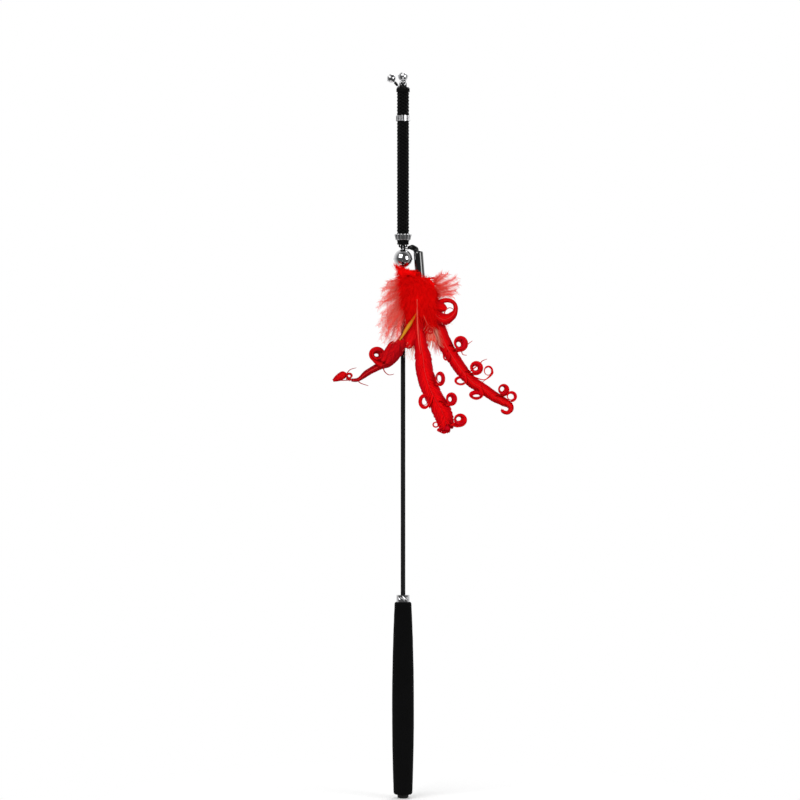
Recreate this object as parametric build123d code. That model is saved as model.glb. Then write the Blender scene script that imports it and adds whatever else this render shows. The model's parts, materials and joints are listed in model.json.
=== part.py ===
from build123d import *
import os
from math import atan2, degrees, hypot, sqrt

# Cat teaser wand. Lengths are millimetres and angles are degrees.
# The origin is in the middle of the grip, +Z runs up the rod to its tip,
# and the toy hangs from the tip in front of the rod, at -Y.

# Handle
grip_length = 145.0
grip_top_d = 12.6
grip_belly_d = 16.5
grip_butt_d = 14.1
grip_belly_drop = 7.5
grip_edge_r = 1.6
core_d = 8.0
glue_gap = 0.05
plug_stem_d = 5.0
plug_stem_length = 14.0
plug_head_d = 8.4
plug_head_h = 2.6
plug_edge_r = 1.1

# Rod and the collar on top of the grip
rod_d = 3.5
rod_seat_wall = 21.0
rod_free_length = 389.0
collar_d = 10.0
collar_h = 5.2
collar_strands = 13
collar_strand_d = 2.5
collar_strand_lean = 38.0

# Cap on the rod's tip, with the wire eye that carries the toy
cap_d = 5.6
cap_skirt = 9.0
cap_roof = 2.2
cap_edge_r = 0.8
eye_wire_d = 0.9
eye_mean_r = 1.5
eye_stem_drop = 2.9
eye_seat_depth = 0.6
ring_wire_d = 0.8
ring_mean_r = 2.2
rod_gap = 0.5

# Strap: a cord with a braided cover, bound at the top and with two fluted bands
strap_d = 9.0
strap_length = 118.0
strap_top_drop = 2.6
strap_edge_r = 0.6
cord_d = 7.0
loop_cord_d = 1.2
loop_mean_r = 1.3
bight_half_width = 2.7
bight_drop = 1.7
bight_corner_r = 0.7
binding_turns = 6
binding_thread_d = 0.55
band_wall = 0.35
upper_band_h = 4.2
upper_band_ribs = 18
upper_band_rib_d = 0.7
upper_band_drop = 23.4
lower_band_h = 4.8
lower_band_ribs = 14
lower_band_rib_d = 1.5
lower_band_flare = 0.75
lower_band_rise = 3.2

# Bells: thin round shells with a crimped lip and crossed slots
large_bell_d = 14.0
large_bell_wall = 0.5
large_pellet_d = 3.6
left_bell_d = 6.7
left_bell_x = -8.8
left_bell_rise = 2.9
right_bell_d = 7.3
right_bell_rise = 0.4
small_bell_wall = 0.45
small_pellet_d = 2.2
bell_slot_w = 1.1
bell_slot_hole_d = 1.8
bell_lip = 0.3
bell_lip_h = 0.9
shank_d = 0.9
shank_flange_d = 2.0
shank_flange_h = 0.4
shank_ring_mean_r = 1.0
shank_ring_wire_d = 0.6
shank_neck = 0.45
shank_seat_depth = 1.6
tie_d = 2.2
tie_start = 2.6
pellet_gap = 0.15

# Feather holder: a tube hung from a lace that arches out from under the strap,
# closed by the plug that grips the quills
holder_d = 7.2
holder_wall = 0.7
holder_length = 20.0
holder_edge_r = 2.0
holder_x = 11.3
holder_drop = 2.8
holder_tilt = 4.5
holder_plug_length = 10.0
lace_d = 4.2
lace_eye_x = 1.3
lace_eye_wire_d = 0.7
lace_eye_mean_r = 1.15
lace_neck_d = 0.8
lace_neck_x = 3.9
lace_neck_bend_r = 0.6
lace_start_x = 5.2
lace_start_drop = 0.3
lace_top_x = 7.4
lace_top_rise = 2.1
lace_rise = 3.6
lace_depth = 4.5
lace_bend_r = 2.4

# Feathers: reach is sideways and drop is downwards, both from the holder's mouth
blade_t = 1.5
quill_gap = 0.2
curl_band = 2.1
barb_w = 1.8
left_reach = -65.6
left_drop = 77.0
left_blade_w = 8.0
left_layer = 2.75
left_bow = 3.0
middle_reach = 21.5
middle_drop = 117.0
middle_blade_w = 11.5
middle_layer = -3.25
middle_bow = 14.0
right_reach = 69.0
right_drop = 99.4
right_blade_w = 8.5
right_layer = 0.75
right_bow = 6.0
loop_reach = 20.0
loop_drop = 28.4
loop_blade_w = 7.0
loop_layer = -1.25
loop_bow = 1.0

# Fluff round the quills and thin down beside it
fluff_w = 33.0
fluff_h = 54.0
fluff_front_depth = 11.0
fluff_back_depth = 2.6
fluff_gap = 0.5
fluff_offset_x = -0.5
fluff_top_gap = 0.6
down_t = 1.6
left_down_w = 30.0
left_down_h = 60.0
left_down_x = -35.5
left_down_z = -3.5
right_down_w = 25.0
right_down_h = 20.0
right_down_x = 3.5
right_down_z = 4.0
lower_down_w = 15.0
lower_down_h = 20.0
lower_down_x = -11.5
lower_down_z = -46.5

cut_overrun = 1.0

# Heights and places worked out from the sizes above
grip_top_z = grip_length / 2
grip_butt_z = -grip_length / 2
rod_seat_depth = grip_length - plug_stem_length - rod_seat_wall
rod_tip_z = grip_top_z + rod_free_length
cap_top_z = rod_tip_z + cap_roof
lower_band_r = strap_d / 2 + glue_gap + band_wall + lower_band_flare + lower_band_rib_d / 2
toy_y = -(rod_d / 2 + rod_gap + max(lower_band_r, large_bell_d / 2 + bell_lip))
strap_top_z = rod_tip_z - strap_top_drop
strap_bottom_z = strap_top_z - strap_length
loop_z = strap_top_z + loop_mean_r
eye_z = loop_z + 2 * ring_mean_r
swing_z = strap_bottom_z - bight_drop
upper_band_z = strap_top_z - upper_band_drop
lower_band_z = strap_bottom_z + lower_band_rise
shank_ring_lift = shank_ring_mean_r + shank_ring_wire_d / 2 + shank_neck
large_bell_z = swing_z - shank_ring_lift - large_bell_d / 2
left_bell_z = cap_top_z + left_bell_rise
right_bell_z = cap_top_z + right_bell_rise + right_bell_d / 2
holder_top_z = swing_z - holder_drop
holder_place = Location((holder_x, toy_y, holder_top_z), (0, -holder_tilt, 0))
mouth = (holder_place * Location((0, 0, -holder_length))).position

# Share of its drop at which a feather starts to bow forwards
bow_start_share = 0.5

# Outlines of the feathers as shares of their reach, drop and blade width
left_rachis_shares = [
    (0.00, 0.00, 0.16), (0.05, 0.27, 0.18), (0.15, 0.49, 0.30), (0.29, 0.70, 1.25),
    (0.47, 0.84, 0.80), (0.70, 0.97, 0.26), (0.86, 0.95, 0.90), (1.00, 0.985, 0.14),
]
left_curl_shares = [(0.491, 0.728, 1.50), (0.812, 0.925, 0.80)]
middle_rachis_shares = [
    (0.00, 0.00, 0.12), (-0.09, 0.15, 0.26), (-0.02, 0.34, 0.56), (0.08, 0.50, 1.00),
    (0.24, 0.65, 1.04), (0.58, 0.79, 1.06), (0.84, 0.905, 1.00), (0.94, 0.98, 0.60),
]
middle_curl_shares = [
    (0.68, 0.635, 0.84), (1.065, 0.765, 0.88), (1.39, 0.898, 0.94), (0.144, 0.781, 0.90), (0.536, 0.929, 0.50),
]
right_rachis_shares = [
    (0.00, 0.00, 0.16), (0.10, 0.20, 0.46), (0.20, 0.36, 1.00), (0.30, 0.53, 1.06),
    (0.45, 0.685, 0.98), (0.69, 0.828, 0.86), (0.88, 0.912, 0.76), (0.98, 0.955, 0.40),
]
right_curl_shares = [
    (0.433, 0.483, 1.40), (0.612, 0.664, 1.20), (0.739, 0.693, 1.00), (0.438, 0.763, 1.00),
    (0.606, 0.871, 1.12), (0.904, 0.829, 1.12), (0.998, 0.882, 0.98), (0.930, 0.977, 0.92),
]
loop_rachis_shares = [
    (0.07, 0.00, 0.20), (0.37, 0.46, 0.50), (0.63, 0.86, 0.95), (0.97, 1.00, 1.05),
    (1.30, 0.88, 0.70), (1.38, 0.67, 0.42), (1.19, 0.54, 0.36), (0.88, 0.52, 0.30),
]
left_down_shares = [
    (1.00, 0.08), (0.55, 0.02), (0.22, 0.10), (0.02, 0.32),
    (0.06, 0.70), (0.22, 0.98), (0.50, 0.88), (0.86, 0.52),
]
right_down_shares = [(0.00, 0.52), (0.36, 0.28), (0.94, 0.04), (0.98, 0.66), (0.50, 0.98), (0.08, 0.82)]
lower_down_shares = [(0.00, 0.10), (0.95, 0.00), (1.00, 0.55), (0.66, 1.00), (0.30, 0.96)]


def ring_about_x(mean_r, wire_d, place):
    """A wire ring that things on it swing about the X axis in."""
    return Location(place) * Rot(0, 90, 0) * Torus(mean_r, wire_d / 2)


def tube(outer_r, inner_r, height, place):
    """An upright tube standing on place."""
    rises = (Align.CENTER, Align.CENTER, Align.MIN)
    shell = Cylinder(outer_r, height, align=rises) - Cylinder(inner_r, height, align=rises)
    return Location(place) * shell


def rod_between(start, end, diameter):
    """A round bar from one point to another."""
    line = Line(start, end)
    return sweep(Plane(line @ 0, z_dir=line % 0) * Circle(diameter / 2), path=line)


def make_foam_grip():
    """Barrel of foam, widest a little below its middle, with a bore for the core."""
    bore_r = core_d / 2 + glue_gap
    side = ThreePointArc(
        (grip_top_d / 2, grip_top_z), (grip_belly_d / 2, -grip_belly_drop), (grip_butt_d / 2, grip_butt_z)
    )
    rim = Polyline(side @ 1, (bore_r, grip_butt_z), (bore_r, grip_top_z), side @ 0)
    profile = make_face([side.edge(), *rim.edges()])
    corners = [corner for corner in profile.vertices() if corner.X > grip_top_d / 2 - glue_gap]
    profile = fillet(corners, grip_edge_r)
    return revolve(Plane.XZ * profile, Axis.Z)


def make_grip_core():
    """Core of the handle: the rod is glued in from above and the plug from below."""
    rises = (Align.CENTER, Align.CENTER, Align.MIN)
    sinks = (Align.CENTER, Align.CENTER, Align.MAX)
    core = Location((0, 0, grip_butt_z)) * Cylinder(core_d / 2, grip_length, align=rises)
    core -= Location((0, 0, grip_top_z)) * Cylinder(rod_d / 2 + glue_gap, rod_seat_depth, align=sinks)
    stem_bore = Cylinder(plug_stem_d / 2 + glue_gap, plug_stem_length + glue_gap, align=rises)
    return core - Location((0, 0, grip_butt_z)) * stem_bore


def make_end_plug():
    """Plug with a flat head that closes the handle's butt."""
    rises = (Align.CENTER, Align.CENTER, Align.MIN)
    sinks = (Align.CENTER, Align.CENTER, Align.MAX)
    head = Cylinder(plug_head_d / 2, plug_head_h, align=sinks)
    head = fillet(head.edges().filter_by(GeomType.CIRCLE).sort_by(Axis.Z)[0], plug_edge_r)
    return Location((0, 0, grip_butt_z)) * (head + Cylinder(plug_stem_d / 2, plug_stem_length, align=rises))


def make_rod():
    """Plain round rod from its seat in the handle to the tip."""
    rises = (Align.CENTER, Align.CENTER, Align.MIN)
    seat_z = grip_top_z - rod_seat_depth + glue_gap
    return Location((0, 0, seat_z)) * Cylinder(rod_d / 2, rod_tip_z - seat_z, align=rises)


def make_rope_collar():
    """Collar of leaning strands, trimmed flat above and below."""
    rises = (Align.CENTER, Align.CENTER, Align.MIN)
    strand_r = collar_strand_d / 2
    pitch_r = collar_d / 2 - strand_r
    ring = Cylinder(pitch_r + strand_r / 2, collar_h)
    strand = Rot(collar_strand_lean, 0, 0) * Cylinder(strand_r, collar_h + collar_d)
    for spot in PolarLocations(pitch_r, collar_strands):
        ring += spot * strand
    ring &= Cylinder(collar_d / 2, collar_h)
    ring -= Cylinder(rod_d / 2 + glue_gap, collar_h + cut_overrun)
    return Location((0, 0, grip_top_z + collar_h / 2)) * ring


def left_shank_line():
    """Start in the cap and end at the left bell's middle, as points."""
    wall_middle = (cap_d / 2 + rod_d / 2 + glue_gap) / 2
    start = Vector(-wall_middle, 0, cap_top_z - cap_skirt / 2)
    return start, Vector(left_bell_x, 0, left_bell_z)


def eye_stem_ends():
    """Both ends of the eye's stem: in the cap's front and at the back of the eye."""
    back = Vector(0, -cap_d / 2 + eye_seat_depth, eye_z - eye_stem_drop)
    return back, Vector(0, toy_y + eye_mean_r, eye_z)


def make_tip_cap():
    """Cap glued on the rod's tip, drilled for the eye and for both bell shanks."""
    rises = (Align.CENTER, Align.CENTER, Align.MIN)
    sinks = (Align.CENTER, Align.CENTER, Align.MAX)
    cap = Location((0, 0, cap_top_z)) * Cylinder(cap_d / 2, cap_skirt + cap_roof, align=sinks)
    cap = fillet(cap.edges().filter_by(GeomType.CIRCLE).sort_by(Axis.Z)[-1], cap_edge_r)
    cap -= Location((0, 0, rod_tip_z + glue_gap)) * Cylinder(
        rod_d / 2 + glue_gap, cap_skirt + cut_overrun, align=sinks
    )
    cap -= Location((0, 0, cap_top_z - shank_seat_depth)) * Cylinder(
        shank_d / 2 + glue_gap, cap_roof, align=rises
    )
    start, end = left_shank_line()
    cap -= rod_between(start, end, shank_d + 2 * glue_gap)
    back, front = eye_stem_ends()
    return cap - rod_between(back, front, eye_wire_d + 2 * glue_gap)


def make_tip_eye():
    """Wire eye in front of the cap, on a stem that rises from the cap's front."""
    back, front = eye_stem_ends()
    return rod_between(back, front, eye_wire_d) + ring_about_x(eye_mean_r, eye_wire_d, (0, toy_y, eye_z))


def make_tip_ring():
    """Ring that links the eye to the strap's loop."""
    middle_z = (eye_z + loop_z) / 2
    return Location((0, toy_y, middle_z)) * Rot(90, 0, 0) * Torus(ring_mean_r, ring_wire_d / 2)


def make_braided_strap():
    """Outer form of the braided cover, a tube round the cord."""
    cover = tube(strap_d / 2, cord_d / 2 + glue_gap, strap_length, (0, toy_y, strap_bottom_z))
    rims = cover.edges().filter_by(GeomType.CIRCLE).sort_by(lambda rim: rim.radius)[-2:]
    return fillet(rims, strap_edge_r)


def make_core_cord():
    """Cord in the strap, with a loop at the top and a bight under the lower end."""
    rises = (Align.CENTER, Align.CENTER, Align.MIN)
    cord = Location((0, toy_y, strap_bottom_z)) * Cylinder(cord_d / 2, strap_length, align=rises)
    cord += ring_about_x(loop_mean_r, loop_cord_d, (0, toy_y, loop_z))
    inside_z = strap_bottom_z + bight_drop
    path = FilletPolyline(
        (-bight_half_width, toy_y, inside_z),
        (-bight_half_width, toy_y, swing_z),
        (bight_half_width, toy_y, swing_z),
        (bight_half_width, toy_y, inside_z),
        radius=bight_corner_r,
    )
    return cord + sweep(Plane(path @ 0, z_dir=path % 0) * Circle(loop_cord_d / 2), path=path)


def make_top_binding():
    """Turns of thread round the strap's top end."""
    inner_r = strap_d / 2 + glue_gap
    thread_r = binding_thread_d / 2
    height = binding_turns * binding_thread_d
    binding = tube(inner_r + thread_r, inner_r, height, (0, 0, 0))
    for turn in range(binding_turns):
        binding += Location((0, 0, (turn + 1 / 2) * binding_thread_d)) * Torus(inner_r + thread_r, thread_r)
    base_z = strap_top_z - strap_edge_r - height
    return Location((0, toy_y, base_z)) * binding


def make_upper_band():
    """Straight band with upright ribs."""
    inner_r = strap_d / 2 + glue_gap
    outer_r = inner_r + band_wall
    band = tube(outer_r, inner_r, upper_band_h, (0, 0, 0))
    rises = (Align.CENTER, Align.CENTER, Align.MIN)
    for spot in PolarLocations(outer_r, upper_band_ribs):
        band += spot * Cylinder(upper_band_rib_d / 2, upper_band_h, align=rises)
    band -= Cylinder(inner_r, upper_band_h, align=rises)
    return Location((0, toy_y, upper_band_z - upper_band_h / 2)) * band


def make_lower_band():
    """Flared band whose ribs lean outwards and end in knobs, like a crown."""
    inner_r = strap_d / 2 + glue_gap
    outer_r = inner_r + band_wall
    rib_r = lower_band_rib_d / 2
    rises = (Align.CENTER, Align.CENTER, Align.MIN)
    knob_z = lower_band_h - rib_r
    band = Cone(outer_r, outer_r + lower_band_flare, lower_band_h, align=rises)
    for spot in PolarLocations(0, lower_band_ribs):
        foot = Vector(outer_r, 0, rib_r)
        knob = Vector(outer_r + lower_band_flare, 0, knob_z)
        rib = rod_between(foot, knob, lower_band_rib_d)
        band += spot * (rib + Location(knob) * Sphere(rib_r) + Location(foot) * Sphere(rib_r))
    band -= Cylinder(inner_r, lower_band_h, align=rises)
    return Location((0, toy_y, lower_band_z)) * band


def make_bell_shells(diameter, wall):
    """Upper and lower shell of a bell round the origin, with its pole and shank at +Z."""
    outer_r = diameter / 2
    hollow = Sphere(outer_r - wall)
    upper = Sphere(outer_r, arc_size1=0, arc_size2=90, align=None) - hollow
    upper -= Location((0, 0, outer_r)) * Cylinder(shank_d / 2 + glue_gap, outer_r)
    lower = Sphere(outer_r, arc_size1=-90, arc_size2=0, align=None)
    lower += Location((0, 0, -bell_lip_h / 2)) * Cylinder(outer_r + bell_lip, bell_lip_h)
    lower -= hollow
    slot_top_z = -outer_r / 2
    for turn in (0, 90):
        slot = Location((0, 0, slot_top_z - outer_r / 2)) * Box(diameter, bell_slot_w, outer_r)
        for side in (-1, 1):
            end = Location((side * sqrt(outer_r**2 - slot_top_z**2), 0, slot_top_z), (0, side * 60, 0))
            slot += end * Cylinder(bell_slot_hole_d / 2, 6 * wall)
        lower -= Rot(0, 0, turn) * slot
    return upper, lower


def make_shank(diameter, wall, length):
    """Wire shank of a bell: a flange inside the pole, and a stem that stands out of it by length."""
    inner_r = diameter / 2 - wall
    flange_z = sqrt(inner_r**2 - (shank_flange_d / 2) ** 2) - glue_gap
    sinks = (Align.CENTER, Align.CENTER, Align.MAX)
    rises = (Align.CENTER, Align.CENTER, Align.MIN)
    flange = Location((0, 0, flange_z)) * Cylinder(shank_flange_d / 2, shank_flange_h, align=sinks)
    stem_length = diameter / 2 + length - flange_z
    return flange + Location((0, 0, flange_z)) * Cylinder(shank_d / 2, stem_length, align=rises)


def pellet_drop(diameter, wall, pellet_d):
    """How far below the bell's middle its pellet lies, clear of the shank's flange all round."""
    return diameter / 2 - wall - shank_flange_h - pellet_d / 2 - pellet_gap - glue_gap


def make_large_bell():
    """Bell under the strap, with a ring on its shank that swings on the cord's bight."""
    place = Location((0, toy_y, large_bell_z))
    upper, lower = make_bell_shells(large_bell_d, large_bell_wall)
    shank = make_shank(large_bell_d, large_bell_wall, shank_neck + shank_ring_wire_d / 2)
    ring_place = (0, 0, large_bell_d / 2 + shank_ring_lift)
    shank += ring_about_x(shank_ring_mean_r, shank_ring_wire_d, ring_place)
    drop = pellet_drop(large_bell_d, large_bell_wall, large_pellet_d)
    return {
        "large_bell_upper_shell": place * upper,
        "large_bell_lower_shell": place * lower,
        "large_bell_shank": place * shank,
        "large_bell_pellet": place * Location((0, 0, -drop)) * Sphere(large_pellet_d / 2),
    }


def make_small_bell(side, diameter, middle, shank_end):
    """Bell on the tip: its shank runs from the bell to a point in the cap."""
    axis = shank_end - middle
    place = Plane(middle, z_dir=axis).location
    upper, lower = make_bell_shells(diameter, small_bell_wall)
    shank = make_shank(diameter, small_bell_wall, axis.length - diameter / 2)
    drop = pellet_drop(diameter, small_bell_wall, small_pellet_d)
    return {
        f"{side}_bell_upper_shell": place * upper,
        f"{side}_bell_lower_shell": place * lower,
        f"{side}_bell_shank": place * shank,
        f"{side}_bell_pellet": Location(middle - Vector(0, 0, drop)) * Sphere(small_pellet_d / 2),
    }


def make_left_bell_tie():
    """Thread wound on the left bell's shank between the cap and the bell."""
    start, middle = left_shank_line()
    along = (middle - start).normalized()
    foot = start + along * tie_start
    head = middle - along * (left_bell_d / 2 + glue_gap + bell_lip)
    return rod_between(foot, head, tie_d) - rod_between(start, middle, shank_d + 2 * glue_gap)


def lace_path():
    """Line of the lace: out from under the strap, over an arch and down into the holder."""
    rise = (holder_place * Location((0, 0, lace_rise))).position
    seat = (holder_place * Location((0, 0, -lace_depth))).position
    return FilletPolyline(
        (lace_start_x, toy_y, swing_z - lace_start_drop),
        (lace_top_x, toy_y, swing_z + lace_top_rise),
        rise,
        seat,
        radius=lace_bend_r,
    )


def make_feather_holder():
    """Tube with a rounded top, open at the mouth, with a hole for the lace."""
    outer_r = holder_d / 2
    sinks = (Align.CENTER, Align.CENTER, Align.MAX)
    holder = Cylinder(outer_r, holder_length, align=sinks)
    holder = fillet(holder.edges().filter_by(GeomType.CIRCLE).sort_by(Axis.Z)[-1], holder_edge_r)
    hollow_top = Location((0, 0, -holder_edge_r))
    holder -= hollow_top * Cylinder(outer_r - holder_wall, holder_length, align=sinks)
    holder -= Cylinder(lace_d / 2 + glue_gap, holder_edge_r + cut_overrun, align=sinks)
    return holder_place * holder


def make_holder_lace():
    """Lace with an eye round the cord's bight, glued into the top of the holder."""
    path = lace_path()
    lace = sweep(Plane(path @ 0, z_dir=path % 0) * Circle(lace_d / 2), path=path)
    neck_z = swing_z - lace_eye_mean_r
    neck = FilletPolyline(
        (lace_eye_x, toy_y, neck_z),
        (lace_neck_x, toy_y, neck_z),
        (lace_start_x + lace_d / 4, toy_y, swing_z),
        radius=lace_neck_bend_r,
    )
    lace += sweep(Plane(neck @ 0, z_dir=neck % 0) * Circle(lace_neck_d / 2), path=neck)
    return lace + ring_about_x(lace_eye_mean_r, lace_eye_wire_d, (lace_eye_x, toy_y, swing_z))


def make_quill_plug():
    """Plug in the holder's mouth that grips the quills."""
    rises = (Align.CENTER, Align.CENTER, Align.MIN)
    plug = Cylinder(holder_d / 2 - holder_wall - glue_gap, holder_plug_length, align=rises)
    return holder_place * Location((0, 0, -holder_length)) * plug


def feather_points(shares, reach, drop, layer, bow):
    """Points of a feather's rachis below the holder's mouth, bowing forwards as it falls."""
    start = Vector(mouth.X, toy_y + layer, mouth.Z - quill_gap - blade_t)
    points = []
    for reach_share, drop_share, *_ in shares:
        bow_share = max(drop_share - bow_start_share, 0) / (1 - bow_start_share)
        points.append(start + Vector(reach * reach_share, -bow * bow_share**2, -drop * drop_share))
    return points


def make_blade(points, widths):
    """Flat blade through the rachis points, each with its own width."""
    sections = []
    for index, (point, width) in enumerate(zip(points, widths)):
        before = points[max(index - 1, 0)]
        after = points[min(index + 1, len(points) - 1)]
        along = (after - before).normalized()
        across = Vector(-along.Z, 0, along.X)
        sections.append(Plane(point, x_dir=across, z_dir=along) * Rectangle(width, blade_t))
    return loft(sections, ruled=True)


def nearest_on(points, target):
    """Nearest point of a polyline to a target, measured in the XZ plane."""
    best, best_distance = points[0], None
    for start, end in zip(points, points[1:]):
        run = end - start
        share = ((target.X - start.X) * run.X + (target.Z - start.Z) * run.Z) / (run.X**2 + run.Z**2)
        spot = start + run * min(max(share, 0), 1)
        distance = hypot(target.X - spot.X, target.Z - spot.Z)
        if best_distance is None or distance < best_distance:
            best, best_distance = spot, distance
    return best


def make_curl(points, target, diameter):
    """Ringlet beside the blade, with the barb that carries it from the rachis."""
    spot = nearest_on(points, target)
    middle = Vector(target.X, spot.Y, target.Z)
    outer_r = diameter / 2
    ring = Rot(90, 0, 0) * (Cylinder(outer_r, blade_t) - Cylinder(outer_r - curl_band, blade_t))
    ring = Location(middle) * ring
    gap = middle - spot
    length = gap.length - outer_r + curl_band / 2
    if length <= 0:
        return ring
    lean = degrees(atan2(gap.Z, gap.X))
    barb = Box(length, blade_t, barb_w, align=(Align.MIN, Align.CENTER, Align.CENTER))
    return ring + Location(spot) * Rot(0, -lean, 0) * barb


def make_feather(rachis_shares, curl_shares, reach, drop, blade_w, layer, bow):
    """One curled feather: its blade with the ringlets along both sides."""
    points = feather_points(rachis_shares, reach, drop, layer, bow)
    feather = make_blade(points, [blade_w * row[2] for row in rachis_shares])
    start = points[0]
    for reach_share, drop_share, size_share in curl_shares:
        target = Vector(mouth.X + reach * reach_share, 0, start.Z - drop * drop_share)
        feather += make_curl(points, target, blade_w * size_share)
    return feather


def make_fluff(depth, face_y, toward):
    """Half of the fluff: an egg of down on one side of the feathers."""
    middle = Vector(mouth.X + fluff_offset_x, face_y, mouth.Z - fluff_top_gap - fluff_h / 2)
    egg = scale(Sphere(1), by=(fluff_w / 2, depth, fluff_h / 2))
    half = Location((0, toward * fluff_h / 2, 0)) * Box(fluff_h, fluff_h, 2 * fluff_h)
    return Location(middle) * (egg & half)


def make_down(shares, width, height, corner, layer):
    """Thin flat tuft of down, outlined by a closed curve below its corner."""
    points = [(width * x_share, -height * z_share) for x_share, z_share in shares]
    outline = Spline(*points, periodic=True)
    plate = extrude(Plane.XZ * make_face(outline), amount=down_t / 2, both=True)
    return Location((corner.X, toy_y + layer, corner.Z)) * plate


def make_parts():
    """Every piece by its name."""
    parts = {
        "rod": make_rod(),
        "grip_core": make_grip_core(),
        "foam_grip": make_foam_grip(),
        "end_plug": make_end_plug(),
        "rope_collar": make_rope_collar(),
        "tip_cap": make_tip_cap(),
        "tip_eye": make_tip_eye(),
        "tip_ring": make_tip_ring(),
        "braided_strap": make_braided_strap(),
        "core_cord": make_core_cord(),
        "top_binding": make_top_binding(),
        "upper_band": make_upper_band(),
        "lower_band": make_lower_band(),
        "left_bell_tie": make_left_bell_tie(),
        "feather_holder": make_feather_holder(),
        "holder_lace": make_holder_lace(),
        "quill_plug": make_quill_plug(),
    }
    cap_start, left_middle = left_shank_line()
    right_middle = Vector(0, 0, right_bell_z)
    right_end = Vector(0, 0, cap_top_z - shank_seat_depth + glue_gap)
    parts.update(make_large_bell())
    parts.update(make_small_bell("left", left_bell_d, left_middle, cap_start))
    parts.update(make_small_bell("right", right_bell_d, right_middle, right_end))
    parts["left_feather"] = make_feather(
        left_rachis_shares, left_curl_shares, left_reach, left_drop, left_blade_w, left_layer, left_bow
    )
    parts["middle_feather"] = make_feather(
        middle_rachis_shares,
        middle_curl_shares,
        middle_reach,
        middle_drop,
        middle_blade_w,
        middle_layer,
        middle_bow,
    )
    parts["right_feather"] = make_feather(
        right_rachis_shares,
        right_curl_shares,
        right_reach,
        right_drop,
        right_blade_w,
        right_layer,
        right_bow,
    )
    parts["loop_feather"] = make_feather(
        loop_rachis_shares, [], loop_reach, loop_drop, loop_blade_w, loop_layer, loop_bow
    )
    front_y = toy_y + middle_layer - blade_t / 2 - fluff_gap
    back_y = toy_y + left_layer + blade_t / 2 + fluff_gap
    parts["front_marabou"] = make_fluff(fluff_front_depth, front_y, -1)
    parts["back_marabou"] = make_fluff(fluff_back_depth, back_y, 1)
    left_corner = mouth + Vector(left_down_x, 0, left_down_z)
    right_corner = mouth + Vector(right_down_x, 0, right_down_z)
    lower_corner = mouth + Vector(lower_down_x, 0, lower_down_z)
    parts["left_down"] = make_down(left_down_shares, left_down_w, left_down_h, left_corner, loop_layer)
    parts["right_down"] = make_down(right_down_shares, right_down_w, right_down_h, right_corner, left_layer)
    parts["lower_down"] = make_down(lower_down_shares, lower_down_w, lower_down_h, lower_corner, loop_layer)
    return parts


def main():
    """Write one file for each piece."""
    os.makedirs("parts", exist_ok=True)
    for name, solid in make_parts().items():
        export_step(solid, os.path.join("parts", f"{name}.step"))
    print(f"mouth {mouth.X:.2f} {mouth.Y:.2f} {mouth.Z:.2f}, toy_y {toy_y:.2f}")
    print(f"eye_z {eye_z:.2f}, loop_z {loop_z:.2f}, swing_z {swing_z:.2f}")
    print(f"large bell z {large_bell_z:.2f}, left {left_bell_z:.2f}, right {right_bell_z:.2f}")


main()
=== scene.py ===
"""Looks of the cat teaser wand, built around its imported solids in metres."""

import json
import logging
import math
import random
from bisect import bisect_left
from dataclasses import dataclass, field
from enum import Enum
from typing import Sequence

import bpy
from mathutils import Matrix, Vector, noise

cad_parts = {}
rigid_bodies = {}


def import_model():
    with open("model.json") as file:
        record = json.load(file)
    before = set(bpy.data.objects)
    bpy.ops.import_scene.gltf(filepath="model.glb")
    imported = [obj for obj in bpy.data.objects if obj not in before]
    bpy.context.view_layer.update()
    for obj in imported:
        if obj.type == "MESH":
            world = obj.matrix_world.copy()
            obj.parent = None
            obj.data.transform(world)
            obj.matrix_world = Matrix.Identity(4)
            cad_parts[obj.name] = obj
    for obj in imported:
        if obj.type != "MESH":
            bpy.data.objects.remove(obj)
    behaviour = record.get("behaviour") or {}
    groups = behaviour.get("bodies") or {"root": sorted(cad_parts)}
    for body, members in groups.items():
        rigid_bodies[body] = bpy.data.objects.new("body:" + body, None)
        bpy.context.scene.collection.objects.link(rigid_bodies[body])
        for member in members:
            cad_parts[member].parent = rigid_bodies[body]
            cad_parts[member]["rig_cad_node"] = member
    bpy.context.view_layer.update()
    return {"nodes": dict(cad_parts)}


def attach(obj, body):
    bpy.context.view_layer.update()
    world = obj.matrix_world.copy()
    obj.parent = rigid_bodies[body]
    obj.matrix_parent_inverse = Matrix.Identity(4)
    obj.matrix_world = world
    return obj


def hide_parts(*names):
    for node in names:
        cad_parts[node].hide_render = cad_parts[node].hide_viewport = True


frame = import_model()
LOG = logging.getLogger("wand")

# Sizes and places are in millimetres, with x to the right, y to the back and z up.
MM = 0.001
TOY_Y = -9.55
STRAP_TOP_Z = 458.9
STRAP_LENGTH = 118.0
STRAP_D = 9.0
LOOP_Z = 460.2
SWING_Z = 339.2
MOUTH = Vector((12.87, TOY_Y, 316.46))
FEATHER_TOP_DROP = 1.7

# Cord and thread: plies, the grooves between them as a share of the radius, and a thread's section.
PLIES = 3
PLY_DEPTH = 0.16
THREAD_SIDES = 9
THREAD_TWIST = 0.6

# Soft fibres: steps along one, its sway on the three axes and its taper as shares, its wave in
# radians, and how far the lengths of fibres spread.
FIBRE_STEPS = 5
FIBRE_SWAY = (0.16, 0.08, 0.16)
FIBRE_WAVE = 2.6
FIBRE_TAPER = 0.8
LENGTH_SPREAD = (0.5, 1.1)

# First values of the relief group's inputs, in millimetres.
RELIEF_SIZES = {"Grain Size": 1.0, "Cell Size": 1.0, "Streak Length": 20.0, "Blotch Size": 12.0}

# Tint of a strand that has none of its own, and a distance that counts as none.
MID_SHADE = 0.5
NEAR = 1e-6

UP = Vector((0, 0, 1))
RIGHT = Vector((1, 0, 0))
FRONT = Vector((0, -1, 0))

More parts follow.
